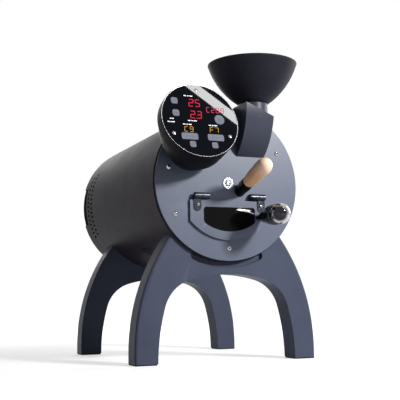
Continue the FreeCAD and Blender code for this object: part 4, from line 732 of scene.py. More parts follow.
@dataclass(frozen=True)
class DarkGlass:
    """Glass with a tint and a share that lets light through; the window's near-black tint and low share are
    painted shade for the shadowed drum behind it.
    """

    label: str
    colour: Colour
    roughness: float = 0.02
    clear: float = 0.9
    specular: float = 0.5

    def make(self) -> bpy.types.Material:
        """Build the material.

        Returns:
            The material.
        """
        n = Nodes(self.label)
        n.set(Transmission__Weight=self.clear, IOR=1.45, Specular__IOR__Level=self.specular)
        smear = n.noise(45, 4, 0.7)
        n.skin(n.ramp(smear, shade(self.colour, 0.85), self.colour, 0.3, 0.7), smear,
               self.roughness * 0.5, self.roughness * 1.8)
        return n.material


@dataclass(frozen=True)
class BlackGlass:
    """Opaque polished glass, nearly a mirror, with the faintest smears."""

    label: str
    colour: Colour
    roughness: float = 0.012
    specular: float = 0.12

    def make(self) -> bpy.types.Material:
        """Build the material.

        Returns:
            The material.
        """
        n = Nodes(self.label)
        n.set(Specular__IOR__Level=self.specular)
        smear = n.noise(35, 4, 0.7)
        n.skin(n.ramp(smear, shade(self.colour, 0.8), shade(self.colour, 1.2), 0.3, 0.7), smear,
               self.roughness * 0.4, self.roughness * 1.6)
        return n.material


@dataclass(frozen=True)
class Glow:
    """A lit display segment behind the glass."""

    label: str
    colour: Colour
    strength: float = 1.0

    def make(self) -> bpy.types.Material:
        """Build the material.

        Returns:
            The material.
        """
        n = Nodes(self.label)
        flicker = n.ramp(n.noise(500, 1), shade(self.colour, 0.10), shade(self.colour, 0.14))
        n.link(flicker, n.shader.inputs["Base Color"])
        n.set(Emission__Color=(*self.colour, 1), Emission__Strength=self.strength, Roughness=0.5,
              Specular__IOR__Level=0.1)
        return n.material


@dataclass(frozen=True)
class Weave:
    """Woven ceramic cloth around the heated sleeve."""

    label: str
    colour: Colour

    def make(self) -> bpy.types.Material:
        """Build the material.

        Returns:
            The material.
        """
        n = Nodes(self.label)
        n.set(Roughness=0.9, Sheen__Weight=0.3)
        cross = n.add("ShaderNodeMath", operation="MAXIMUM")
        for number, way in enumerate(("X", "Z")):
            thread = n.add("ShaderNodeTexWave", Scale=180, Distortion=0.4, bands_direction=way)
            n.link(n.place, thread.inputs["Vector"])
            n.link(thread.outputs["Fac"], cross.inputs[number])
        n.link(n.ramp(cross.outputs[0], shade(self.colour, 0.6), self.colour, 0.2, 0.8),
               n.shader.inputs["Base Color"])
        n.bump(cross.outputs[0], 0.0002)
        return n.material


class Finishes:
    """Every finish of the roaster, each made once."""

    def __init__(self) -> None:
        """Make the materials."""
        slate = srgb(80, 87, 105)
        self.plate = PowderCoat("slate_powder_coat", slate, 0.36, specular=0.32).make()
        # The legs take the slate coat made darker: painted shade for the dimmer light that falls on them.
        self.leg = PowderCoat("leg_coat_painted_shade", srgb(70, 75, 92), 0.38, specular=0.06).make()
        self.barrel = PowderCoat("barrel_powder_coat", srgb(44, 39, 46), 0.46, 0.00007, 650, 0.04).make()
        self.door = PowderCoat("door_powder_coat", slate, 0.36, specular=0.32).make()
        self.chute = PowderCoat("chute_powder_coat", srgb(48, 51, 66), 0.38, specular=0.24).make()
        self.cover = PowderCoat("cover_powder_coat", srgb(20, 20, 23), 0.8, specular=0.01).make()
        self.funnel = SpunMatte("funnel_matte_coat", srgb(23, 23, 33)).make()
        self.case = Moulded("display_case_plastic", srgb(13, 12, 18), 0.5, specular=0.06).make()
        self.black = Moulded("black_plastic", srgb(22, 22, 24), 0.42).make()
        # Painted shade for the hollows of the screw sockets.
        self.pit = Moulded("screw_socket_shadow", srgb(16, 17, 20), 0.6, specular=0.1).make()
        self.rubber = Moulded("foot_rubber", srgb(20, 20, 21), 0.75, 900, 0.00005, 0.3).make()
        self.knob = Moulded("knob_gloss_black", srgb(12, 12, 14), 0.18, coat=0.6).make()
        self.key = Moulded("key_grey_rubber", srgb(104, 108, 122), 0.55, 1500, 0.00003, 0.2).make()
        self.key_mark = Moulded("key_mark_grey", srgb(70, 74, 86), 0.5).make()
        self.label = Moulded("printed_white", srgb(244, 246, 248), 0.4).make()
        self.fan = Moulded("fan_black", srgb(26, 26, 28), 0.5).make()
        self.board = Moulded("circuit_board_green", srgb(18, 72, 44), 0.4, 700, 0.00006).make()
        self.drum = Metal("brushed_drum_steel", srgb(176, 172, 166), 0.34, Lay.ALONG_Y).make()
        self.sheet = Metal("mill_aluminium", srgb(176, 178, 181), 0.38, Lay.ALONG_X).make()
        self.bright = Metal("bright_turned_steel", srgb(218, 220, 224), 0.16, depth=0.000003).make()
        self.screw = Metal("polished_screw_steel", srgb(168, 170, 175), 0.2, depth=0.000003).make()
        self.steel = Metal("plain_steel", srgb(168, 169, 172), 0.28).make()
        self.black_metal = Metal("black_zinc", srgb(58, 60, 66), 0.24).make()
        self.hinge = Metal("hinge_black_oxide", srgb(52, 54, 60), 0.22).make()
        self.washer = Metal("satin_washer_steel", srgb(222, 224, 228), 0.3, depth=0.000003).make()
        self.bolt = Metal("satin_bolt_steel", srgb(150, 152, 157), 0.36, depth=0.000003).make()
        self.socket = Metal("socket_black_oxide", srgb(28, 29, 34), 0.3).make()
        self.gear = Metal("gear_steel", srgb(140, 140, 144), 0.3).make()
        self.bronze = Metal("sintered_bronze", srgb(172, 136, 84), 0.4).make()
        self.copper = Metal("enamelled_copper", srgb(190, 106, 66), 0.32).make()
        self.motor = PowderCoat("motor_can_paint", srgb(50, 51, 55), 0.4).make()
        # The ball's near-black plating, pale towards its outline, is a painted reflection.
        self.chrome = Chrome("chrome_ball_painted_reflection", (0.03, 0.03, 0.035), 0.05, (0.5, 0.5, 0.52)).make()
        self.rim = Chrome("rim_chrome", (0.5, 0.5, 0.53), 0.3).make()
        self.face = BlackGlass("display_black_glass", srgb(2, 5, 12), specular=0.06).make()
        # The window glass is near-black and mostly opaque: painted shade for the shadowed drum behind it.
        self.window = DarkGlass("window_glass_painted_shade", (0.001, 0.001, 0.0015), clear=0.2, specular=0.03).make()
        # The third colour is the painted highlight that pales the handle towards its tip.
        self.wood = TurnedWood("oiled_wood", srgb(252, 202, 156), srgb(238, 174, 124),
                               srgb(255, 228, 206)).make()
        self.red = Glow("red_digits", srgb(214, 24, 62), 1.0).make()
        self.faint_red = Glow("faint_red_digits", srgb(224, 70, 112), 0.7).make()
        self.amber = Glow("amber_digits", srgb(214, 160, 36), 0.9).make()
        self.ceramic = Weave("ceramic_weave", srgb(214, 208, 192)).make()

    @staticmethod
    def dress(piece: bpy.types.Object | str, finish: bpy.types.Material) -> None:
        """Give a piece, or a CAD node by name, one finish all over.

        Args:
            piece: The piece, or the node's name.
            finish: The finish.
        """
        target = bpy.data.objects[piece] if isinstance(piece, str) else piece
        if not target.material_slots:
            target.data.materials.append(finish)
        for holder in target.material_slots:
            holder.material = finish

    @staticmethod
    def fit(piece: bpy.types.Object, finish: bpy.types.Material, slot: str, body: str = "",
            node: str = "") -> None:
        """Give a piece one finish all over and say where it belongs."""
        Finishes.dress(piece, finish)
        belong(piece, body, node)

    @staticmethod
    def divide(piece: bpy.types.Object, main: bpy.types.Material, other: bpy.types.Material,
               test: Callable[[Vector], bool]) -> None:
        """Give a piece one finish, and the faces whose middles pass a test another.

        Args:
            piece: The piece, about the origin.
            main: The finish of most faces.
            other: The finish of the faces that pass.
            test: Says of a face's middle whether the face takes the other finish.
        """
        piece.data.materials.clear()
        for finish in (main, other):
            piece.data.materials.append(finish)
        with Bench.editing(piece):
            Bench.pick(piece, "faces", lambda f: test(f.calc_center_median()))
            piece.active_material_index = 1
            bpy.ops.object.material_slot_assign()


# ------------------------------------------------------------------ shared small hardware

@dataclass
class ButtonHead:
    """A domed screw head with a hexagon socket, standing on z = 0."""

    radius: float = 0.0042
    high: float = 0.0024
    socket: float = 0.0025
    deep: float = 0.0014

    def build(self, label: str) -> bpy.types.Object:
        """Model one head: a drawn-out ring, then the socket cut into it.

        Args:
            label: The piece's name.

        Returns:
            The head, about the origin.
        """
        r, h = self.radius, self.high
        stations = [(0, 0), (r, 0), (r, h * 0.18)]
        for step in range(1, 7):
            turn = math.radians(15 * step)
            stations.append((r * math.cos(turn) * 0.98, h * 0.18 + h * 0.82 * math.sin(turn)))
        stations[-1] = (0, h)
        head = Bench.turned(label, stations, 40)
        Bench.clear()
        bpy.ops.mesh.primitive_cylinder_add(vertices=6, radius=self.socket / math.sqrt(3) * 1.1,
                                            depth=2 * self.deep, location=(0, 0, h))
        tool = bpy.context.object
        with Bench.editing(tool):
            Bench.pick(tool, "faces", lambda f: f.normal.z < -FACING)
            bpy.ops.mesh.inset(thickness=self.socket * 0.2)
            bpy.ops.transform.translate(value=(0, 0, -self.deep * 0.25))
        Bench.carve(head, tool)
        Bench.soften(head, 0.00012, 1, 40)
        return head

    def dress(self, head: bpy.types.Object, metal: bpy.types.Material, inside: bpy.types.Material) -> None:
        """Give the head its metal, and the socket's walls and floor a dark painted shade.

        Args:
            head: The head, about the origin.
            metal: The finish outside.
            inside: The painted shade of the socket.
        """
        reach = self.socket * 0.66
        Finishes.divide(head, metal, inside, lambda middle: self.high * 0.2 < middle.z < self.high * 0.93
                        and math.hypot(*middle.xy) < reach)


def polar(radius: float, degrees: float) -> tuple[float, float]:
    """A point on a circle about the origin."""
    return radius * math.cos(math.radians(degrees)), radius * math.sin(math.radians(degrees))


# ------------------------------------------------------------------ casing

@dataclass
class Casing:
    """Faceplate, barrel, legs and the frame inside them."""

    finishes: Finishes
    screw_ring: float = 0.1135
    screw_turns: tuple[float, ...] = (30.6, 90.0, 167.5, 209.3, 270.0, 329.4)
    rear_ring: float = 0.122
    rear_turns: tuple[float, ...] = (30.0, 150.0, 210.0, 330.0)
    cover_rear: float = -0.426
    plain: dict[str, str] = field(default_factory=lambda: {
        "tie_rods": "steel", "front_axle": "steel", "foot_pads": "rubber", "leg_screws": "black_metal",
        "bulkhead": "sheet", "rear_bearing": "bronze", "insulation_sleeve": "ceramic",
        "induction_coil": "copper", "bean_sensor": "black", "drum_motor": "motor", "motor_bracket": "sheet",
        "board_tray": "sheet", "power_board": "board", "display_board": "board", "fan_motor": "motor"})

    def build(self) -> None:
        """Model and dress the casing."""
        self.panels()
        self.screws()
        self.axle_bolt()
        for node, finish in self.plain.items():
            self.finishes.dress(node, getattr(self.finishes, finish))

    def panels(self) -> None:
        """The lightly rounded plate, the rolled barrel with its slots, and both softened legs."""
        for node, label, soft, angle, finish, slot in (
                ("faceplate", "faceplate_panel", 0.0007, 32, self.finishes.plate, "plate_paint"),
                ("barrel_shell", "barrel_skin", 0.0, 20, self.finishes.barrel, "barrel_paint"),
                ("front_leg", "front_arch", 0.0009, 38, self.finishes.leg, "leg_paint"),
                ("rear_leg", "rear_arch", 0.0009, 38, self.finishes.leg, "leg_paint")):
            self.finishes.fit(Bench.recut(node, label, soft, angle), finish, slot)

    def screws(self) -> None:
        """The button heads on the faceplate and the rear cover."""
        button = ButtonHead()
        first = button.build("plate_screw_1")
        button.dress(first, self.finishes.screw, self.finishes.pit)
        spots = [(*polar(self.screw_ring, turn), 0.0, turn, False) for turn in self.screw_turns]
        spots += [(*polar(self.rear_ring, turn), self.cover_rear, turn, True) for turn in self.rear_turns]
        for number, (x, y, z, turn, rear) in enumerate(spots, start=1):
            place = Matrix.Translation((x, y, z)) @ Matrix.Rotation(math.radians(turn * 1.7), 4, "Z")
            if rear:
                place = place @ Matrix.Rotation(math.pi, 4, "X")
            name = f"cover_screw_{number - len(self.screw_turns)}" if rear else f"plate_screw_{number}"
            head = Bench.copy(first, name + "_head", FRONT.matrix() @ place)
            belong(head, "casing", "casing_screws" if number == 1 else "")
        bpy.data.objects.remove(first)

    def axle_bolt(self) -> None:
        """The bright cup washer and the domed bolt in it."""
        cup = Bench.turned("axle_cup_washer", in_metres((
            (9.4, 0), (9.8, 0.3), (9.8, 1.3), (9.3, 1.9), (8.2, 2.0), (7.4, 1.7), (6.9, 1.0), (5.6, 0.9),
            (5.6, 0))), 64, closed=True)
        Bench.soften(cup, 0.00015, 2, 25)
        bolt = Bench.turned("axle_bolt_head", in_metres((
            (0, 0.2), (5.3, 0.2), (5.4, 1.8), (5.2, 2.5), (4.4, 3.1), (3.2, 3.45), (1.6, 3.6), (0, 3.6))), 48)
        Bench.clear()
        bpy.ops.mesh.primitive_cylinder_add(vertices=6, radius=0.0019, depth=0.003, location=(0, 0, 0.0036))
        Bench.carve(bolt, bpy.context.object)
        Bench.soften(bolt, 0.00012, 2, 35)
        for piece, finish, node in ((cup, self.finishes.washer, ""), (bolt, self.finishes.bolt, "axle_bolt")):
            self.finishes.fit(Bench.settle(piece, FRONT), finish, "bright_steel", "casing", node)


@dataclass
class DriveTrain:
    """Drum, gears, fans and their bearings, which keep their CAD shapes."""

    finishes: Finishes
    parts: dict[str, str] = field(default_factory=lambda: {
        "drum_shell": "drum", "drum_spider": "drum", "drum_back": "drum", "drum_shaft": "steel",
        "drum_gear": "gear", "motor_pinion": "gear", "exhaust_impeller": "sheet",
        "cooling_fan_rotor": "fan", "cooling_fan_frame": "black"})

    def build(self) -> None:
        """Dress the moving works."""
        for node, finish in self.parts.items():
            self.finishes.dress(node, getattr(self.finishes, finish))


# ------------------------------------------------------------------ rear end

@dataclass
class RearEnd:
    """Cover, exhaust collar, chaff basket, mains inlet and switch."""

    finishes: Finishes

    def build(self) -> None:
        """Model and dress the back."""
        for node, label, soft, finish, slot in (
                ("rear_cover", "rear_cover_panel", 0.0003, self.finishes.cover, "cover_paint"),
                ("exhaust_duct", "exhaust_collar", 0.0004, self.finishes.sheet, "duct_sheet"),
                ("mains_inlet", "mains_inlet_socket", 0.0004, self.finishes.black, "black_plastic"),
                ("switch_body", "switch_bezel", 0.0004, self.finishes.black, "black_plastic"),
                ("power_switch", "switch_rocker_cap", 0.0005, self.finishes.black, "black_plastic")):
            self.finishes.fit(Bench.recut(node, label, soft), finish, slot)
        self.finishes.dress("chaff_basket", self.finishes.drum)


# ------------------------------------------------------------------ bean door

@dataclass
class BeanDoor:
    """The glazed door with its hinges, knob and chrome ball; the ball's two sizes are in millimetres."""

    finishes: Finishes
    corner: float = 0.005
    screw_x: float = 0.0603
    screw_drop: float = 0.0394
    leaf_face: float = 0.0070
    window_half: float = 0.049
    least_depth: float = 0.0008
    near: float = 0.0003
    ball_radius: float = 18
    ball_out: float = 84

    def build(self) -> None:
        """Model and dress the door and its fittings."""
        self.panel()
        self.hinges()
        self.knob()

    def panel(self) -> None:
        """The door plate, with rounded window corners, and its glass."""
        panel = Bench.recut("door_frame", "door_panel", 0.0)
        with Bench.editing(panel, "EDGE"):
            Bench.pick(panel, "edges", self.is_corner)
            bpy.ops.mesh.bevel(offset=self.corner, segments=6, affect="EDGES")
        Bench.soften(panel, 0.0006, 2, 40)
        self.finishes.fit(panel, self.finishes.door, "door_paint")
        self.finishes.fit(Bench.recut("door_glass", "door_window", 0.0003), self.finishes.window, "door_glass")

    def is_corner(self, edge: bmesh.types.BMEdge) -> bool:
        """Whether an edge is one of the four that run through the plate at the window's corners.

        Args:
            edge: An edge of the door's plate.

        Returns:
            True if it is.
        """
        low, high = sorted((v.co for v in edge.verts), key=lambda p: p.y)
        through = high.y - low.y > self.least_depth and math.hypot(high.x - low.x, high.z - low.z) < WELD
        return through and abs(abs(low.x) - self.window_half) < self.near

    def hinges(self) -> None:
        """Knuckles, leaves and brackets, with bright domed screws in the leaves."""
        for node, label in (("hinge_leaves", "hinge_leaf_pair"), ("hinge_brackets", "hinge_bracket_pair")):
            self.finishes.fit(Bench.recut(node, label, 0.0005), self.finishes.hinge, "hinge_black")
        self.finishes.dress("hinge_pins", self.finishes.bright)
        button = ButtonHead(0.0035, 0.0020, 0.0020, 0.0011)
        head = button.build("leaf_screw")
        button.dress(head, self.finishes.screw, self.finishes.pit)
        for side, word in ((-1, "left"), (1, "right")):
            place = Matrix.Translation((side * self.screw_x, -self.screw_drop, self.leaf_face))
            belong(Bench.copy(head, f"leaf_screw_{word}", FRONT.matrix() @ place), "bean_door")
        bpy.data.objects.remove(head)

    def knob(self) -> None:
        """The flared black stem and the chrome ball that sits in its cup."""
        stem = Bench.turned("knob_flared_stem", in_metres((
            (0, 5), (6.2, 5), (6.5, 5.4), (6.8, 9), (7.2, 12), (8.6, 19), (10.6, 27), (12.9, 36),
            (15.0, 45), (16.8, 54), (18.0, 62), (18.1, 68), (17.7, 72.6), (17.2, 74), (16.6, 74.2),
            (15.9, 73.6), (11.0, 69.2), (0, 66.0))), 64)
        Bench.soften(stem, 0.0004, 2, 30)
        self.finishes.fit(Bench.settle(stem, KNOB), self.finishes.knob, "knob_black", "bean_door", "knob_stem")
        steps, radius, middle = 32, self.ball_radius, self.ball_out
        stations = [(0.0, 66.2), (5.0, 66.7)]
        for step in range(2, steps):
            turn = math.radians(-90 + step * 180 / steps)
            stations.append((radius * math.cos(turn), middle + radius * math.sin(turn)))
        stations.append((0.0, middle + radius))
        ball = Bench.turned("knob_chrome_ball", in_metres(stations), 72)
        Bench.smooth(ball, 60)
        self.finishes.fit(Bench.settle(ball, KNOB), self.finishes.chrome, "chrome", "bean_door", "knob_ball")


# ------------------------------------------------------------------ trier

@dataclass
class Trier:
    """The sampling scoop with its turned handle, in its slanted socket."""

    finishes: Finishes

    def build(self) -> None:
        """Model and dress the trier."""
        for node, label, soft, slot in (("trier_socket", "trier_socket_body", 0.0005, "hinge_black"),
                                        ("trier_sleeve", "trier_sleeve_lip", 0.0004, "bush_bronze")):
            self.finishes.fit(Bench.recut(node, label, soft), self.finishes.socket, slot)
        self.finishes.dress("trier_scoop", self.finishes.drum)
        handle = Bench.turned("trier_turned_handle", in_metres((
            (0, 36.6), (9.8, 36.6), (10.5, 37.0), (10.8, 37.8), (11.2, 42), (11.9, 50), (12.6, 58), (13.2, 70),
            (13.8, 82), (14.15, 92), (14.1, 97), (13.6, 101.6), (12.5, 105.8), (10.8, 109.4), (8.4, 112.6),
            (5.2, 114.9), (2.0, 115.9), (0, 116.0))), 48)
        Bench.finish(handle, "SUBSURF", levels=1, render_levels=1)
        Bench.smooth(handle, 50)
        self.finishes.fit(Bench.settle(handle, TRIER), self.finishes.wood, "wood", "trier", "trier_handle")


# ------------------------------------------------------------------ chute and funnel

@dataclass
class Feed:
    """The chute on the faceplate and the funnel in its collar, whose sizes are in millimetres."""

    finishes: Finishes
    bowl_high: float = 71.7
    bowl_wall: float = 2.2
    bowl_steps: int = 16

    def build(self) -> None:
        """Model and dress the feed."""
        self.finishes.fit(Bench.recut("chute", "bean_chute", 0.0010, 34), self.finishes.chute, "chute_paint")
        self.funnel()

    def funnel(self) -> None:
        """A deep bowl drawn out ring by ring, with a rolled lip and a spigot."""
        centre_x, centre_z, radius = self.bowl_circle()
        heights = [self.bowl_high * step / self.bowl_steps for step in range(self.bowl_steps + 1)]
        outer, inner = (
            [(centre_x + math.sqrt(reach ** 2 - (height - centre_z) ** 2), height) for height in heights]
            for reach in (radius, radius - self.bowl_wall))
        lip = [(outer[-1][0], 70.6), (outer[-1][0] - 0.2, 71.4), (outer[-1][0] - 0.9, 71.7),
               (inner[-1][0] + 0.5, 71.6), (inner[-1][0], 71.0)]
        down = [point for point in reversed(inner[:-1]) if point[1] > 2]
        throat = [(22.5, 1.6), (14.4, -0.8), (13.5, -2.0), (13.5, -23.4), (13.8, -24.0), (15.2, -24.0),
                  (15.5, -23.5), (15.5, -0.0), (25.3, 0.0)]
        bowl = Bench.turned("funnel_bowl", in_metres(outer[:-1] + lip + down + throat), 96, closed=True)
        Bench.smooth(bowl, 40)
        self.finishes.fit(Bench.settle(bowl, FUNNEL), self.finishes.funnel, "funnel_paint", "bean_funnel",
                          "funnel")

    def bowl_circle(self) -> tuple[float, float, float]:
        """The circle, in millimetres, through the bowl's neck, middle and rim.

        Returns:
            Its centre's distance from the axis and height, and its radius.
        """
        (ax, ay), (bx, by), (cx, cy) = (25.7, 0.0), (54.0, 25.4), (79.0, self.bowl_high)
        d = 2 * (ax * (by - cy) + bx * (cy - ay) + cx * (ay - by))
        a, b, c = ax * ax + ay * ay, bx * bx + by * by, cx * cx + cy * cy
        ux = (a * (by - cy) + b * (cy - ay) + c * (ay - by)) / d
        uy = (a * (cx - bx) + b * (ax - cx) + c * (bx - ax)) / d
        return ux, uy, math.hypot(ax - ux, ay - uy)


# ------------------------------------------------------------------ display

class Bar(Enum):
    """The seven bars of a digit: middle in half-widths and half-heights, and whether it is upright."""

    TOP = (0, 1, False)
    UPPER_RIGHT = (1, 0.5, True)
    LOWER_RIGHT = (1, -0.5, True)
    BOTTOM = (0, -1, False)
    LOWER_LEFT = (-1, -0.5, True)
    UPPER_LEFT = (-1, 0.5, True)
    MIDDLE = (0, 0, False)


LIT = {
    "0": "TOP UPPER_RIGHT LOWER_RIGHT BOTTOM LOWER_LEFT UPPER_LEFT",
    "2": "TOP UPPER_RIGHT MIDDLE LOWER_LEFT BOTTOM",
    "3": "TOP UPPER_RIGHT MIDDLE LOWER_RIGHT BOTTOM",
    "5": "TOP UPPER_LEFT MIDDLE LOWER_RIGHT BOTTOM",
    "7": "TOP UPPER_RIGHT LOWER_RIGHT",
    "8": "TOP UPPER_RIGHT LOWER_RIGHT BOTTOM LOWER_LEFT UPPER_LEFT MIDDLE",
    "9": "TOP UPPER_RIGHT LOWER_RIGHT BOTTOM UPPER_LEFT MIDDLE",
    "C": "TOP UPPER_LEFT LOWER_LEFT BOTTOM",
    "F": "TOP UPPER_LEFT MIDDLE LOWER_LEFT",
}


@dataclass
class Readout:
    """A row of seven-bar digits, in millimetres on the glass."""

    label: str
    text: str
    x: float
    y: float
    wide: float
    high: float
    pitch: float
    stroke: float
    lean: float = 6.0
    level: float = -0.2

    def build(self) -> bpy.types.Object:
        """Model the row as one piece, about the glass's middle.

        Returns:
            The row.
        """
        bars = []
        count = sum(1 for c in self.text if c != ".")
        left = self.x - self.pitch * (count - 1) / 2
        column = 0
        for character in self.text:
            if character == ".":
                x = left + (column - 0.5) * self.pitch
                bars.append(self.bar(x, self.y - self.high / 2, self.stroke, False))
                continue
            middle = left + column * self.pitch
            for name in LIT[character].split():
                across, up, upright = Bar[name].value
                y = self.y + up * self.high / 2
                x = middle + across * self.wide / 2 + (y - self.y) * math.tan(math.radians(self.lean))
                long = (self.high / 2 if upright else self.wide) - self.stroke * 0.25
                bars.append(self.bar(x, y, long, upright))
            column += 1
        return Bench.join(bars, self.label)

    def bar(self, x: float, y: float, long: float, upright: bool) -> bpy.types.Object:
        """One bar with pointed ends: a hexagon drawn out along its length.

        Args:
            x: Middle, across.
            y: Middle, up.
            long: Length from point to point.
            upright: Whether it stands up or lies flat.

        Returns:
            The bar.
        """
        thick = 0.12
        reach = max(0.0, (long - self.stroke * 1.1547) / 2) * MM
        Bench.clear()
        bpy.ops.mesh.primitive_cylinder_add(vertices=6, radius=self.stroke / math.sqrt(3) * MM,
                                            depth=thick * MM, location=(0, 0, 0), rotation=(0, 0, math.pi / 6))
        bar = bpy.context.object
        bpy.ops.object.transform_apply(location=True, rotation=True, scale=True)
        for side in (-1, 1):
            with Bench.editing(bar, "VERT"):
                Bench.pick(bar, "verts", lambda v, s=side: s * v.co.x > 1e-6)
                bpy.ops.transform.translate(value=(side * reach, 0, 0))
        turn = Matrix.Rotation(math.radians(90 - self.lean if upright else 0), 4, "Z")
        bar.matrix_world = Matrix.Translation((x * MM, y * MM, (self.level + thick / 4) * MM)) @ turn
        bpy.context.view_layer.update()
        Bench.take(bar)
        bpy.ops.object.transform_apply(location=True, rotation=True, scale=True)
        return bar


class Mark(Enum):
    """The signs on the keys: how many corners, their distance from the middle in millimetres, and the turn."""

    UP = (3, 2.2, 0.0)
    DOWN = (3, 2.2, math.pi)
    DOT = (24, 3.2, 0.0)
    BAR = (4, 1.2, math.pi / 4)


@dataclass
class Key:
    """A soft key cap, in millimetres on the glass."""

    node: str
    x: float
    y: float
    half_x: float
    half_y: float
    mark: Mark
    corner: float = 1.8
    low: float = -5.3
    top: float = 1.0
    gap: float = 0.35
    least_depth: float = 1.5
    near: float = 0.02

    def is_corner(self, edge: bmesh.types.BMEdge) -> bool:
        """Whether an edge of the glass runs through it at a corner of this key's hole.

        Args:
            edge: An edge of the glass.

        Returns:
            True if it does.
        """
        first, last = (GLASS.matrix().inverted() @ v.co / MM for v in edge.verts)
        off_x = abs(first.x - self.x) - self.half_x - self.gap
        off_y = abs(first.y - self.y) - self.half_y - self.gap
        straight = math.hypot(first.x - last.x, first.y - last.y) < 0.01
        through = abs(first.z - last.z) > self.least_depth
        return through and straight and abs(off_x) < self.near and abs(off_y) < self.near

    def build(self) -> bpy.types.Object:
        """Model the cap: a block with rounded corners, a dished top and soft edges.

        Returns:
            The cap; the round one is about the origin, the others are in their places on the glass.
        """
        Bench.clear()
        if self.node == "key_start":
            cap = Bench.turned(self.node + "_cap", in_metres((
                (0, self.low), (self.half_x, self.low), (self.half_x, 0.5), (8.6, 0.9), (8.0, self.top),
                (6.5, 0.82), (0, 0.6))), 48)
            Bench.soften(cap, 0.0002, 2, 25)
            return cap
        middle = (self.x * MM, self.y * MM, (self.low + self.top) / 2 * MM)
        bpy.ops.mesh.primitive_cube_add(size=1, location=middle)
        cap = Bench.name(bpy.context.object, self.node + "_cap")
        cap.scale = (2 * self.half_x * MM, 2 * self.half_y * MM, (self.top - self.low) * MM)
        bpy.ops.object.transform_apply(location=True, rotation=True, scale=True)
        with Bench.editing(cap, "EDGE"):
            Bench.pick(cap, "edges", lambda e: abs(e.verts[0].co.z - e.verts[1].co.z) > 0.002)
            bpy.ops.mesh.bevel(offset=self.corner * MM, segments=5, affect="EDGES")
        with Bench.editing(cap, "FACE"):
            Bench.pick(cap, "faces", lambda f: f.normal.z > FACING)
            bpy.ops.mesh.inset(thickness=0.9 * MM)
            bpy.ops.transform.translate(value=(0, 0, -0.15 * MM))
            bpy.ops.mesh.inset(thickness=0.6 * MM)
            bpy.ops.transform.translate(value=(0, 0, -0.1 * MM))
        Bench.soften(cap, 0.00025, 2, 35)
        return cap

    def sign(self) -> bpy.types.Object:
        """The raised arrow, bar or dot on the cap.

        Returns:
            The mark, in its place on the glass.
        """
        corners, size, turn = self.mark.value
        Bench.clear()
        bpy.ops.mesh.primitive_cylinder_add(vertices=corners, radius=size * MM, depth=0.14 * MM,
                                            location=(self.x * MM, self.y * MM, (self.top - 0.2) * MM),
                                            rotation=(0, 0, turn))
        mark = Bench.name(bpy.context.object, self.node + "_mark")
        bpy.ops.object.transform_apply(location=True, rotation=True, scale=True)
        if self.mark is Mark.BAR:
            for side in (-1, 1):
                with Bench.editing(mark, "VERT"):
                    Bench.pick(mark, "verts", lambda v, s=side: s * (v.co.x - self.x * MM) > 0)
                    bpy.ops.transform.translate(value=(side * 6.5 * MM, 0, 0))
        Bench.soften(mark, 0.00004, 1, 40)
        return mark


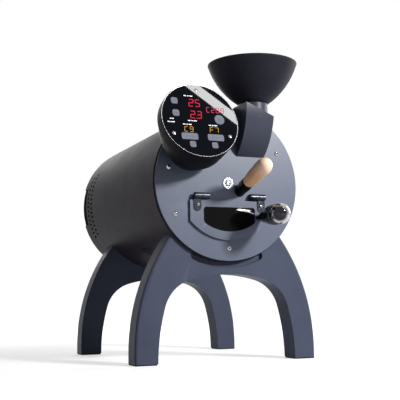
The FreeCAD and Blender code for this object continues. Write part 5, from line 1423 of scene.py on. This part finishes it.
@dataclass
class Display:
    """The tilted round display: case, rim, glass, digits, keys and screws.

    The captions are (x, y, width) in millimetres on the glass.  Each is a row of dashes: their shares of the
    width, the gap between them as a share, how much of its share a dash fills, and their level, height and
    thickness in millimetres.
    """

    finishes: Finishes
    screw_ring: float = 0.057
    bright_reach: float = 0.0677
    glass_middle: float = -0.0012
    screw_turns: tuple[float, ...] = (90.0, 209.0, 331.0)
    keys: tuple[Key, ...] = (
        Key("key_up", -42.0, 33.2, 6.0, 6.0, Mark.UP, 3.8),
        Key("key_down", -42.0, 10.1, 6.0, 6.0, Mark.DOWN, 3.8),
        Key("key_start", 34.7, 2.6, 9.0, 9.0, Mark.DOT),
        Key("rocker_left", -23.1, -32.2, 14.6, 6.0, Mark.BAR, 3.0),
        Key("rocker_right", 23.1, -32.2, 14.6, 6.0, Mark.BAR, 3.0),
        Key("key_mode_left", -19.5, -46.5, 5.4, 5.4, Mark.DOT, 2.6),
        Key("key_mode_right", 19.5, -46.5, 5.4, 5.4, Mark.DOT, 2.6))
    readouts: tuple[Readout, ...] = (
        Readout("digits_upper", "25", -6.5, 31.7, 7.4, 13.0, 11.6, 1.5),
        Readout("digits_lower", "2.3", -6.2, 9.4, 7.4, 13.0, 11.6, 1.5),
        Readout("digits_side", "C208", 29.9, 20.5, 5.2, 9.4, 8.6, 1.1),
        Readout("digits_left_amber", "C9", -22.7, -18.6, 5.4, 9.0, 9.4, 0.95),
        Readout("digits_right_amber", "F7", 22.5, -17.6, 5.4, 9.0, 9.4, 0.95))
    captions: tuple[tuple[float, float, float], ...] = (
        (-14.9, 44.5, 18), (-13.4, -2.5, 18), (-23.3, -9.8, 17), (22.4, -9.1, 17), (-49.8, -0.8, 8),
        (-51.5, -7.0, 14))
    dash_shares: tuple[float, ...] = (0.30, 0.18, 0.36)
    dash_gap: float = 0.05
    dash_fill: float = 0.86
    dash_level: float = -0.19
    dash_high: float = 1.7
    dash_thick: float = 0.06

    def build(self) -> None:
        """Model and dress the display."""
        self.finishes.fit(Bench.recut("display_case", "display_shell", 0.0006, 38), self.finishes.case,
                          "case_plastic")
        self.rim()
        self.glass()
        for readout, finish in zip(self.readouts, (self.finishes.red, self.finishes.red, self.finishes.faint_red,
                                                   self.finishes.amber, self.finishes.amber)):
            self.mount(readout.build(), finish, "display_glass")
        self.mount(self.printing(), self.finishes.label, "display_glass")
        for key in self.keys:
            self.key(key)
        self.screws()

    def glass(self) -> None:
        """The glass, with its key holes' corners rounded and its two faces filled in again around them."""
        pane = Bench.recut("display_glass", "display_face")
        flat = GLASS.matrix().inverted()
        axis = GLASS.matrix().to_3x3().col[2]
        with Bench.editing(pane):
            Bench.pick(pane, "faces", lambda f: abs(f.normal.dot(axis)) > FACING)
            bpy.ops.mesh.delete(type="FACE")
        for key in self.keys:
            with Bench.editing(pane, "EDGE"):
                if Bench.pick(pane, "edges", key.is_corner):
                    bpy.ops.mesh.bevel(offset=(key.corner + key.gap) * MM, segments=5, affect="EDGES")
        for front in (True, False):
            with Bench.editing(pane, "EDGE"):
                Bench.pick(pane, "edges", lambda e, s=front: e.is_boundary
                           and ((flat @ e.verts[0].co).z > self.glass_middle) == s)
                bpy.ops.mesh.fill(use_beauty=True)
        with Bench.editing(pane):
            bpy.ops.mesh.select_all(action="SELECT")
            bpy.ops.mesh.normals_make_consistent(inside=False)
        Bench.soften(pane, 0.00015, 1, 38)
        self.finishes.fit(pane, self.finishes.face, "display_glass")

    def mount(self, piece: bpy.types.Object, finish: bpy.types.Material, slot: str,
              body: str = "casing") -> None:
        """Settle a piece on the glass, dress it and let it ride on a body."""
        self.finishes.fit(Bench.settle(piece, GLASS), finish, slot, body)

    def rim(self) -> None:
        """The slim rim, drawn out ring by ring: bright on its inner lip and dark outside."""
        rim = Bench.turned("display_rim", in_metres((
            (68.5, -3.0), (68.5, -0.6), (68.2, -0.15), (67.7, 0.0), (67.2, -0.1), (66.8, -0.5), (66.7, -3.0))),
            192, closed=True)
        Bench.smooth(rim, 50)
        self.finishes.divide(rim, self.finishes.rim, self.finishes.case,
                             lambda middle: math.hypot(*middle.xy) > self.bright_reach)
        belong(Bench.settle(rim, GLASS), "casing", "bezel_ring")

    def printing(self) -> bpy.types.Object:
        """Short printed dashes where the captions are.

        Returns:
            One piece for them all.
        """
        dashes = []
        for x, y, wide in self.captions:
            start = x - wide / 2
            for long in self.dash_shares:
                Bench.clear()
                length = wide * long * self.dash_fill
                middle = ((start + length / 2) * MM, y * MM, self.dash_level * MM)
                bpy.ops.mesh.primitive_cube_add(size=1, location=middle)
                dash = bpy.context.object
                dash.scale = (length * MM, self.dash_high * MM, self.dash_thick * MM)
                bpy.ops.object.transform_apply(location=True, rotation=True, scale=True)
                with Bench.editing(dash, "EDGE"):
                    Bench.pick(dash, "edges", lambda e: abs(e.verts[0].co.z - e.verts[1].co.z) > 0.00002)
                    bpy.ops.mesh.bevel(offset=0.0003, segments=3, affect="EDGES")
                dashes.append(dash)
                start += wide * (long + self.dash_gap)
        return Bench.join(dashes, "caption_dashes")

    def key(self, key: Key) -> None:
        """One key cap with its mark, which move together.

        Args:
            key: The key.
        """
        cap = key.build()
        if key.node == "key_start":
            cap.location = (key.x * MM, key.y * MM, 0)
        self.mount(cap, self.finishes.key, "key_grey", key.node + "_cap")
        cap.name = key.node + "_top"
        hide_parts(key.node)
        self.mount(key.sign(), self.finishes.key_mark, "key_grey", key.node + "_cap")

    def screws(self) -> None:
        """Three bright domed screws that hold the glass."""
        button = ButtonHead(0.0032, 0.0013, 0.0016, 0.0008)
        head = button.build("glass_screw")
        button.dress(head, self.finishes.screw, self.finishes.pit)
        for number, turn in enumerate(self.screw_turns, start=1):
            place = Matrix.Translation((*polar(self.screw_ring, turn), -0.0002))
            twin = Bench.copy(head, f"glass_screw_{number}", GLASS.matrix() @ place)
            belong(twin, "casing", "display_screws" if number == 1 else "")
        bpy.data.objects.remove(head)


# ------------------------------------------------------------------ studio

@dataclass
class Softbox:
    """One rectangular lamp that looks at a point."""

    label: str
    place: Place
    aim: Place
    wide: float
    high: float
    watts: float
    roll: float = 0.0

    def hang(self) -> None:
        """Add the lamp."""
        data = bpy.data.lights.new(self.label, "AREA")
        data.shape = "RECTANGLE"
        data.size, data.size_y = self.wide, self.high
        data.energy = self.watts
        lamp = bpy.data.objects.new(self.label, data)
        lamp.location = self.place
        facing = (Vector(self.aim) - Vector(self.place)).to_track_quat("-Z", "Y").to_matrix()
        lamp.rotation_euler = (facing @ Matrix.Rotation(math.radians(self.roll), 3, "Z")).to_euler()
        bpy.context.scene.collection.objects.link(lamp)


@dataclass
class Studio:
    """Floor, pale surroundings, soft lamps and the camera."""

    eye: Place = (-0.620, -1.5183, 0.11175)
    yaw: float = 0.401
    pitch: float = 0.114
    roll: float = -0.016
    lens: float = 76.374
    floor_size: float = 24
    floor_colours: tuple[Colour, Colour] = ((0.58, 0.58, 0.59), (0.62, 0.62, 0.63))
    lift_reach: tuple[float, float] = (0.45, 1.3)
    lift_near: float = 0.56
    dim_strength: float = 0.05
    lamps: tuple[Softbox, ...] = (
        Softbox("key_softbox", (0.76, -1.60, 0.94), (0.0, -0.18, 0.33), 0.22, 0.22, 36),
        Softbox("high_softbox", (0.589, -1.189, 1.557), (-0.043, -0.314, 0.388), 0.42, 0.030, 4.2, -58.9),
        Softbox("strip_softbox", (0.717, -1.60, 0.426), (0.03, -0.18, 0.28), 0.045, 0.003, 0.2, -8.5),
        Softbox("side_softbox", (1.5, 0.2, 0.8), (0.0, 0.0, 0.3), 0.7, 0.9, 8),
        Softbox("rear_softbox", (0.3, 1.7, 0.7), (0.0, 0.2, 0.3), 0.9, 0.7, 8))

    def build(self) -> None:
        """Set the studio up."""
        self.camera()
        self.floor()
        self.surroundings()
        for lamp in self.lamps:
            lamp.hang()
        bpy.context.scene.view_settings.view_transform = "Standard"

    def camera(self) -> None:
        """The camera at the picture's viewing angle."""
        data = bpy.data.cameras.new("camera")
        data.lens = self.lens
        data.sensor_width = 36.0
        data.clip_start, data.clip_end = 0.05, 60.0
        camera = bpy.data.objects.new("camera", data)
        ahead0 = Vector((math.sin(self.yaw), math.cos(self.yaw), 0))
        right0 = Vector((math.cos(self.yaw), -math.sin(self.yaw), 0))
        ahead = math.cos(self.pitch) * ahead0 + math.sin(self.pitch) * Vector((0, 0, 1))
        up0 = -math.sin(self.pitch) * ahead0 + math.cos(self.pitch) * Vector((0, 0, 1))
        right = math.cos(self.roll) * right0 + math.sin(self.roll) * up0
        up = -math.sin(self.roll) * right0 + math.cos(self.roll) * up0
        turn = Matrix((right, up, -ahead)).transposed().to_4x4()
        camera.matrix_world = Matrix.Translation(self.eye) @ turn
        bpy.context.scene.collection.objects.link(camera)
        bpy.context.scene.camera = camera

    def floor(self) -> None:
        """A wide pale floor that shows white and keeps the shadow."""
        Bench.clear()
        bpy.ops.mesh.primitive_plane_add(size=self.floor_size, location=(0, 0, 0))
        floor = Bench.name(bpy.context.object, "floor")
        n = Nodes("pale_floor")
        n.set(Roughness=0.75, Specular__IOR__Level=0.15)
        near, far = self.lift_reach
        reach = n.add("ShaderNodeVectorMath", operation="LENGTH")
        fade = n.add("ShaderNodeMapRange", From__Min=near, From__Max=far, To__Min=self.lift_near, To__Max=1.0)
        lift = n.add("ShaderNodeEmission")
        path = n.add("ShaderNodeLightPath")
        total = n.add("ShaderNodeAddShader")
        both = n.add("ShaderNodeMixShader")
        seen = n.add("ShaderNodeMath", operation="MAXIMUM")
        for source, target in (
                (n.ramp(n.noise(3, 4), *self.floor_colours), n.shader.inputs["Base Color"]),
                (n.place, reach.inputs[0]), (reach.outputs["Value"], fade.inputs["Value"]),
                (fade.outputs["Result"], lift.inputs["Strength"]),
                (path.outputs["Is Camera Ray"], seen.inputs[0]), (path.outputs["Is Glossy Ray"], seen.inputs[1]),
                (n.shader.outputs["BSDF"], total.inputs[0]), (lift.outputs["Emission"], total.inputs[1]),
                (seen.outputs[0], both.inputs["Fac"]), (n.shader.outputs["BSDF"], both.inputs[1]),
                (total.outputs["Shader"], both.inputs[2]), (both.outputs["Shader"], n.output.inputs["Surface"])):
            n.link(source, target)
        floor.data.materials.append(n.material)

    def surroundings(self) -> None:
        """White to the camera and in reflections, dim for everything else."""
        world = bpy.data.worlds.new("surroundings")
        bpy.context.scene.world = world
        world.use_nodes = True
        tree = world.node_tree
        tree.nodes.clear()
        path, seen, through, dim, white, mix, out = (tree.nodes.new("ShaderNode" + kind) for kind in (
            "LightPath", "Math", "Math", "Background", "Background", "MixShader", "OutputWorld"))
        seen.operation = through.operation = "MAXIMUM"
        dim.inputs["Color"].default_value = (0.92, 0.94, 1.0, 1)
        dim.inputs["Strength"].default_value = self.dim_strength
        white.inputs["Color"].default_value = (1, 1, 1, 1)
        for source, target in (
                (path.outputs["Is Camera Ray"], seen.inputs[0]), (path.outputs["Is Glossy Ray"], seen.inputs[1]),
                (seen.outputs[0], through.inputs[0]), (path.outputs["Is Transmission Ray"], through.inputs[1]),
                (through.outputs[0], mix.inputs["Fac"]), (dim.outputs[0], mix.inputs[1]),
                (white.outputs[0], mix.inputs[2]), (mix.outputs[0], out.inputs["Surface"])):
            tree.links.new(source, target)


def write_sizes() -> None:
    """Bring the view layer up to date.
    """
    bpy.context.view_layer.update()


def main() -> None:
    """Build the roaster piece by piece and set up the studio."""
    logging.basicConfig(level=logging.INFO, format="%(name)s: %(message)s")
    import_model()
    Bench.clear()
    Studio().build()
    finishes = Finishes()
    for part in (Casing(finishes), DriveTrain(finishes), RearEnd(finishes), BeanDoor(finishes), Trier(finishes),
                 Feed(finishes), Display(finishes)):
        part.build()
        LOG.info("%s is built", type(part).__name__)
    write_sizes()


if __name__ == "__main__":
    main()
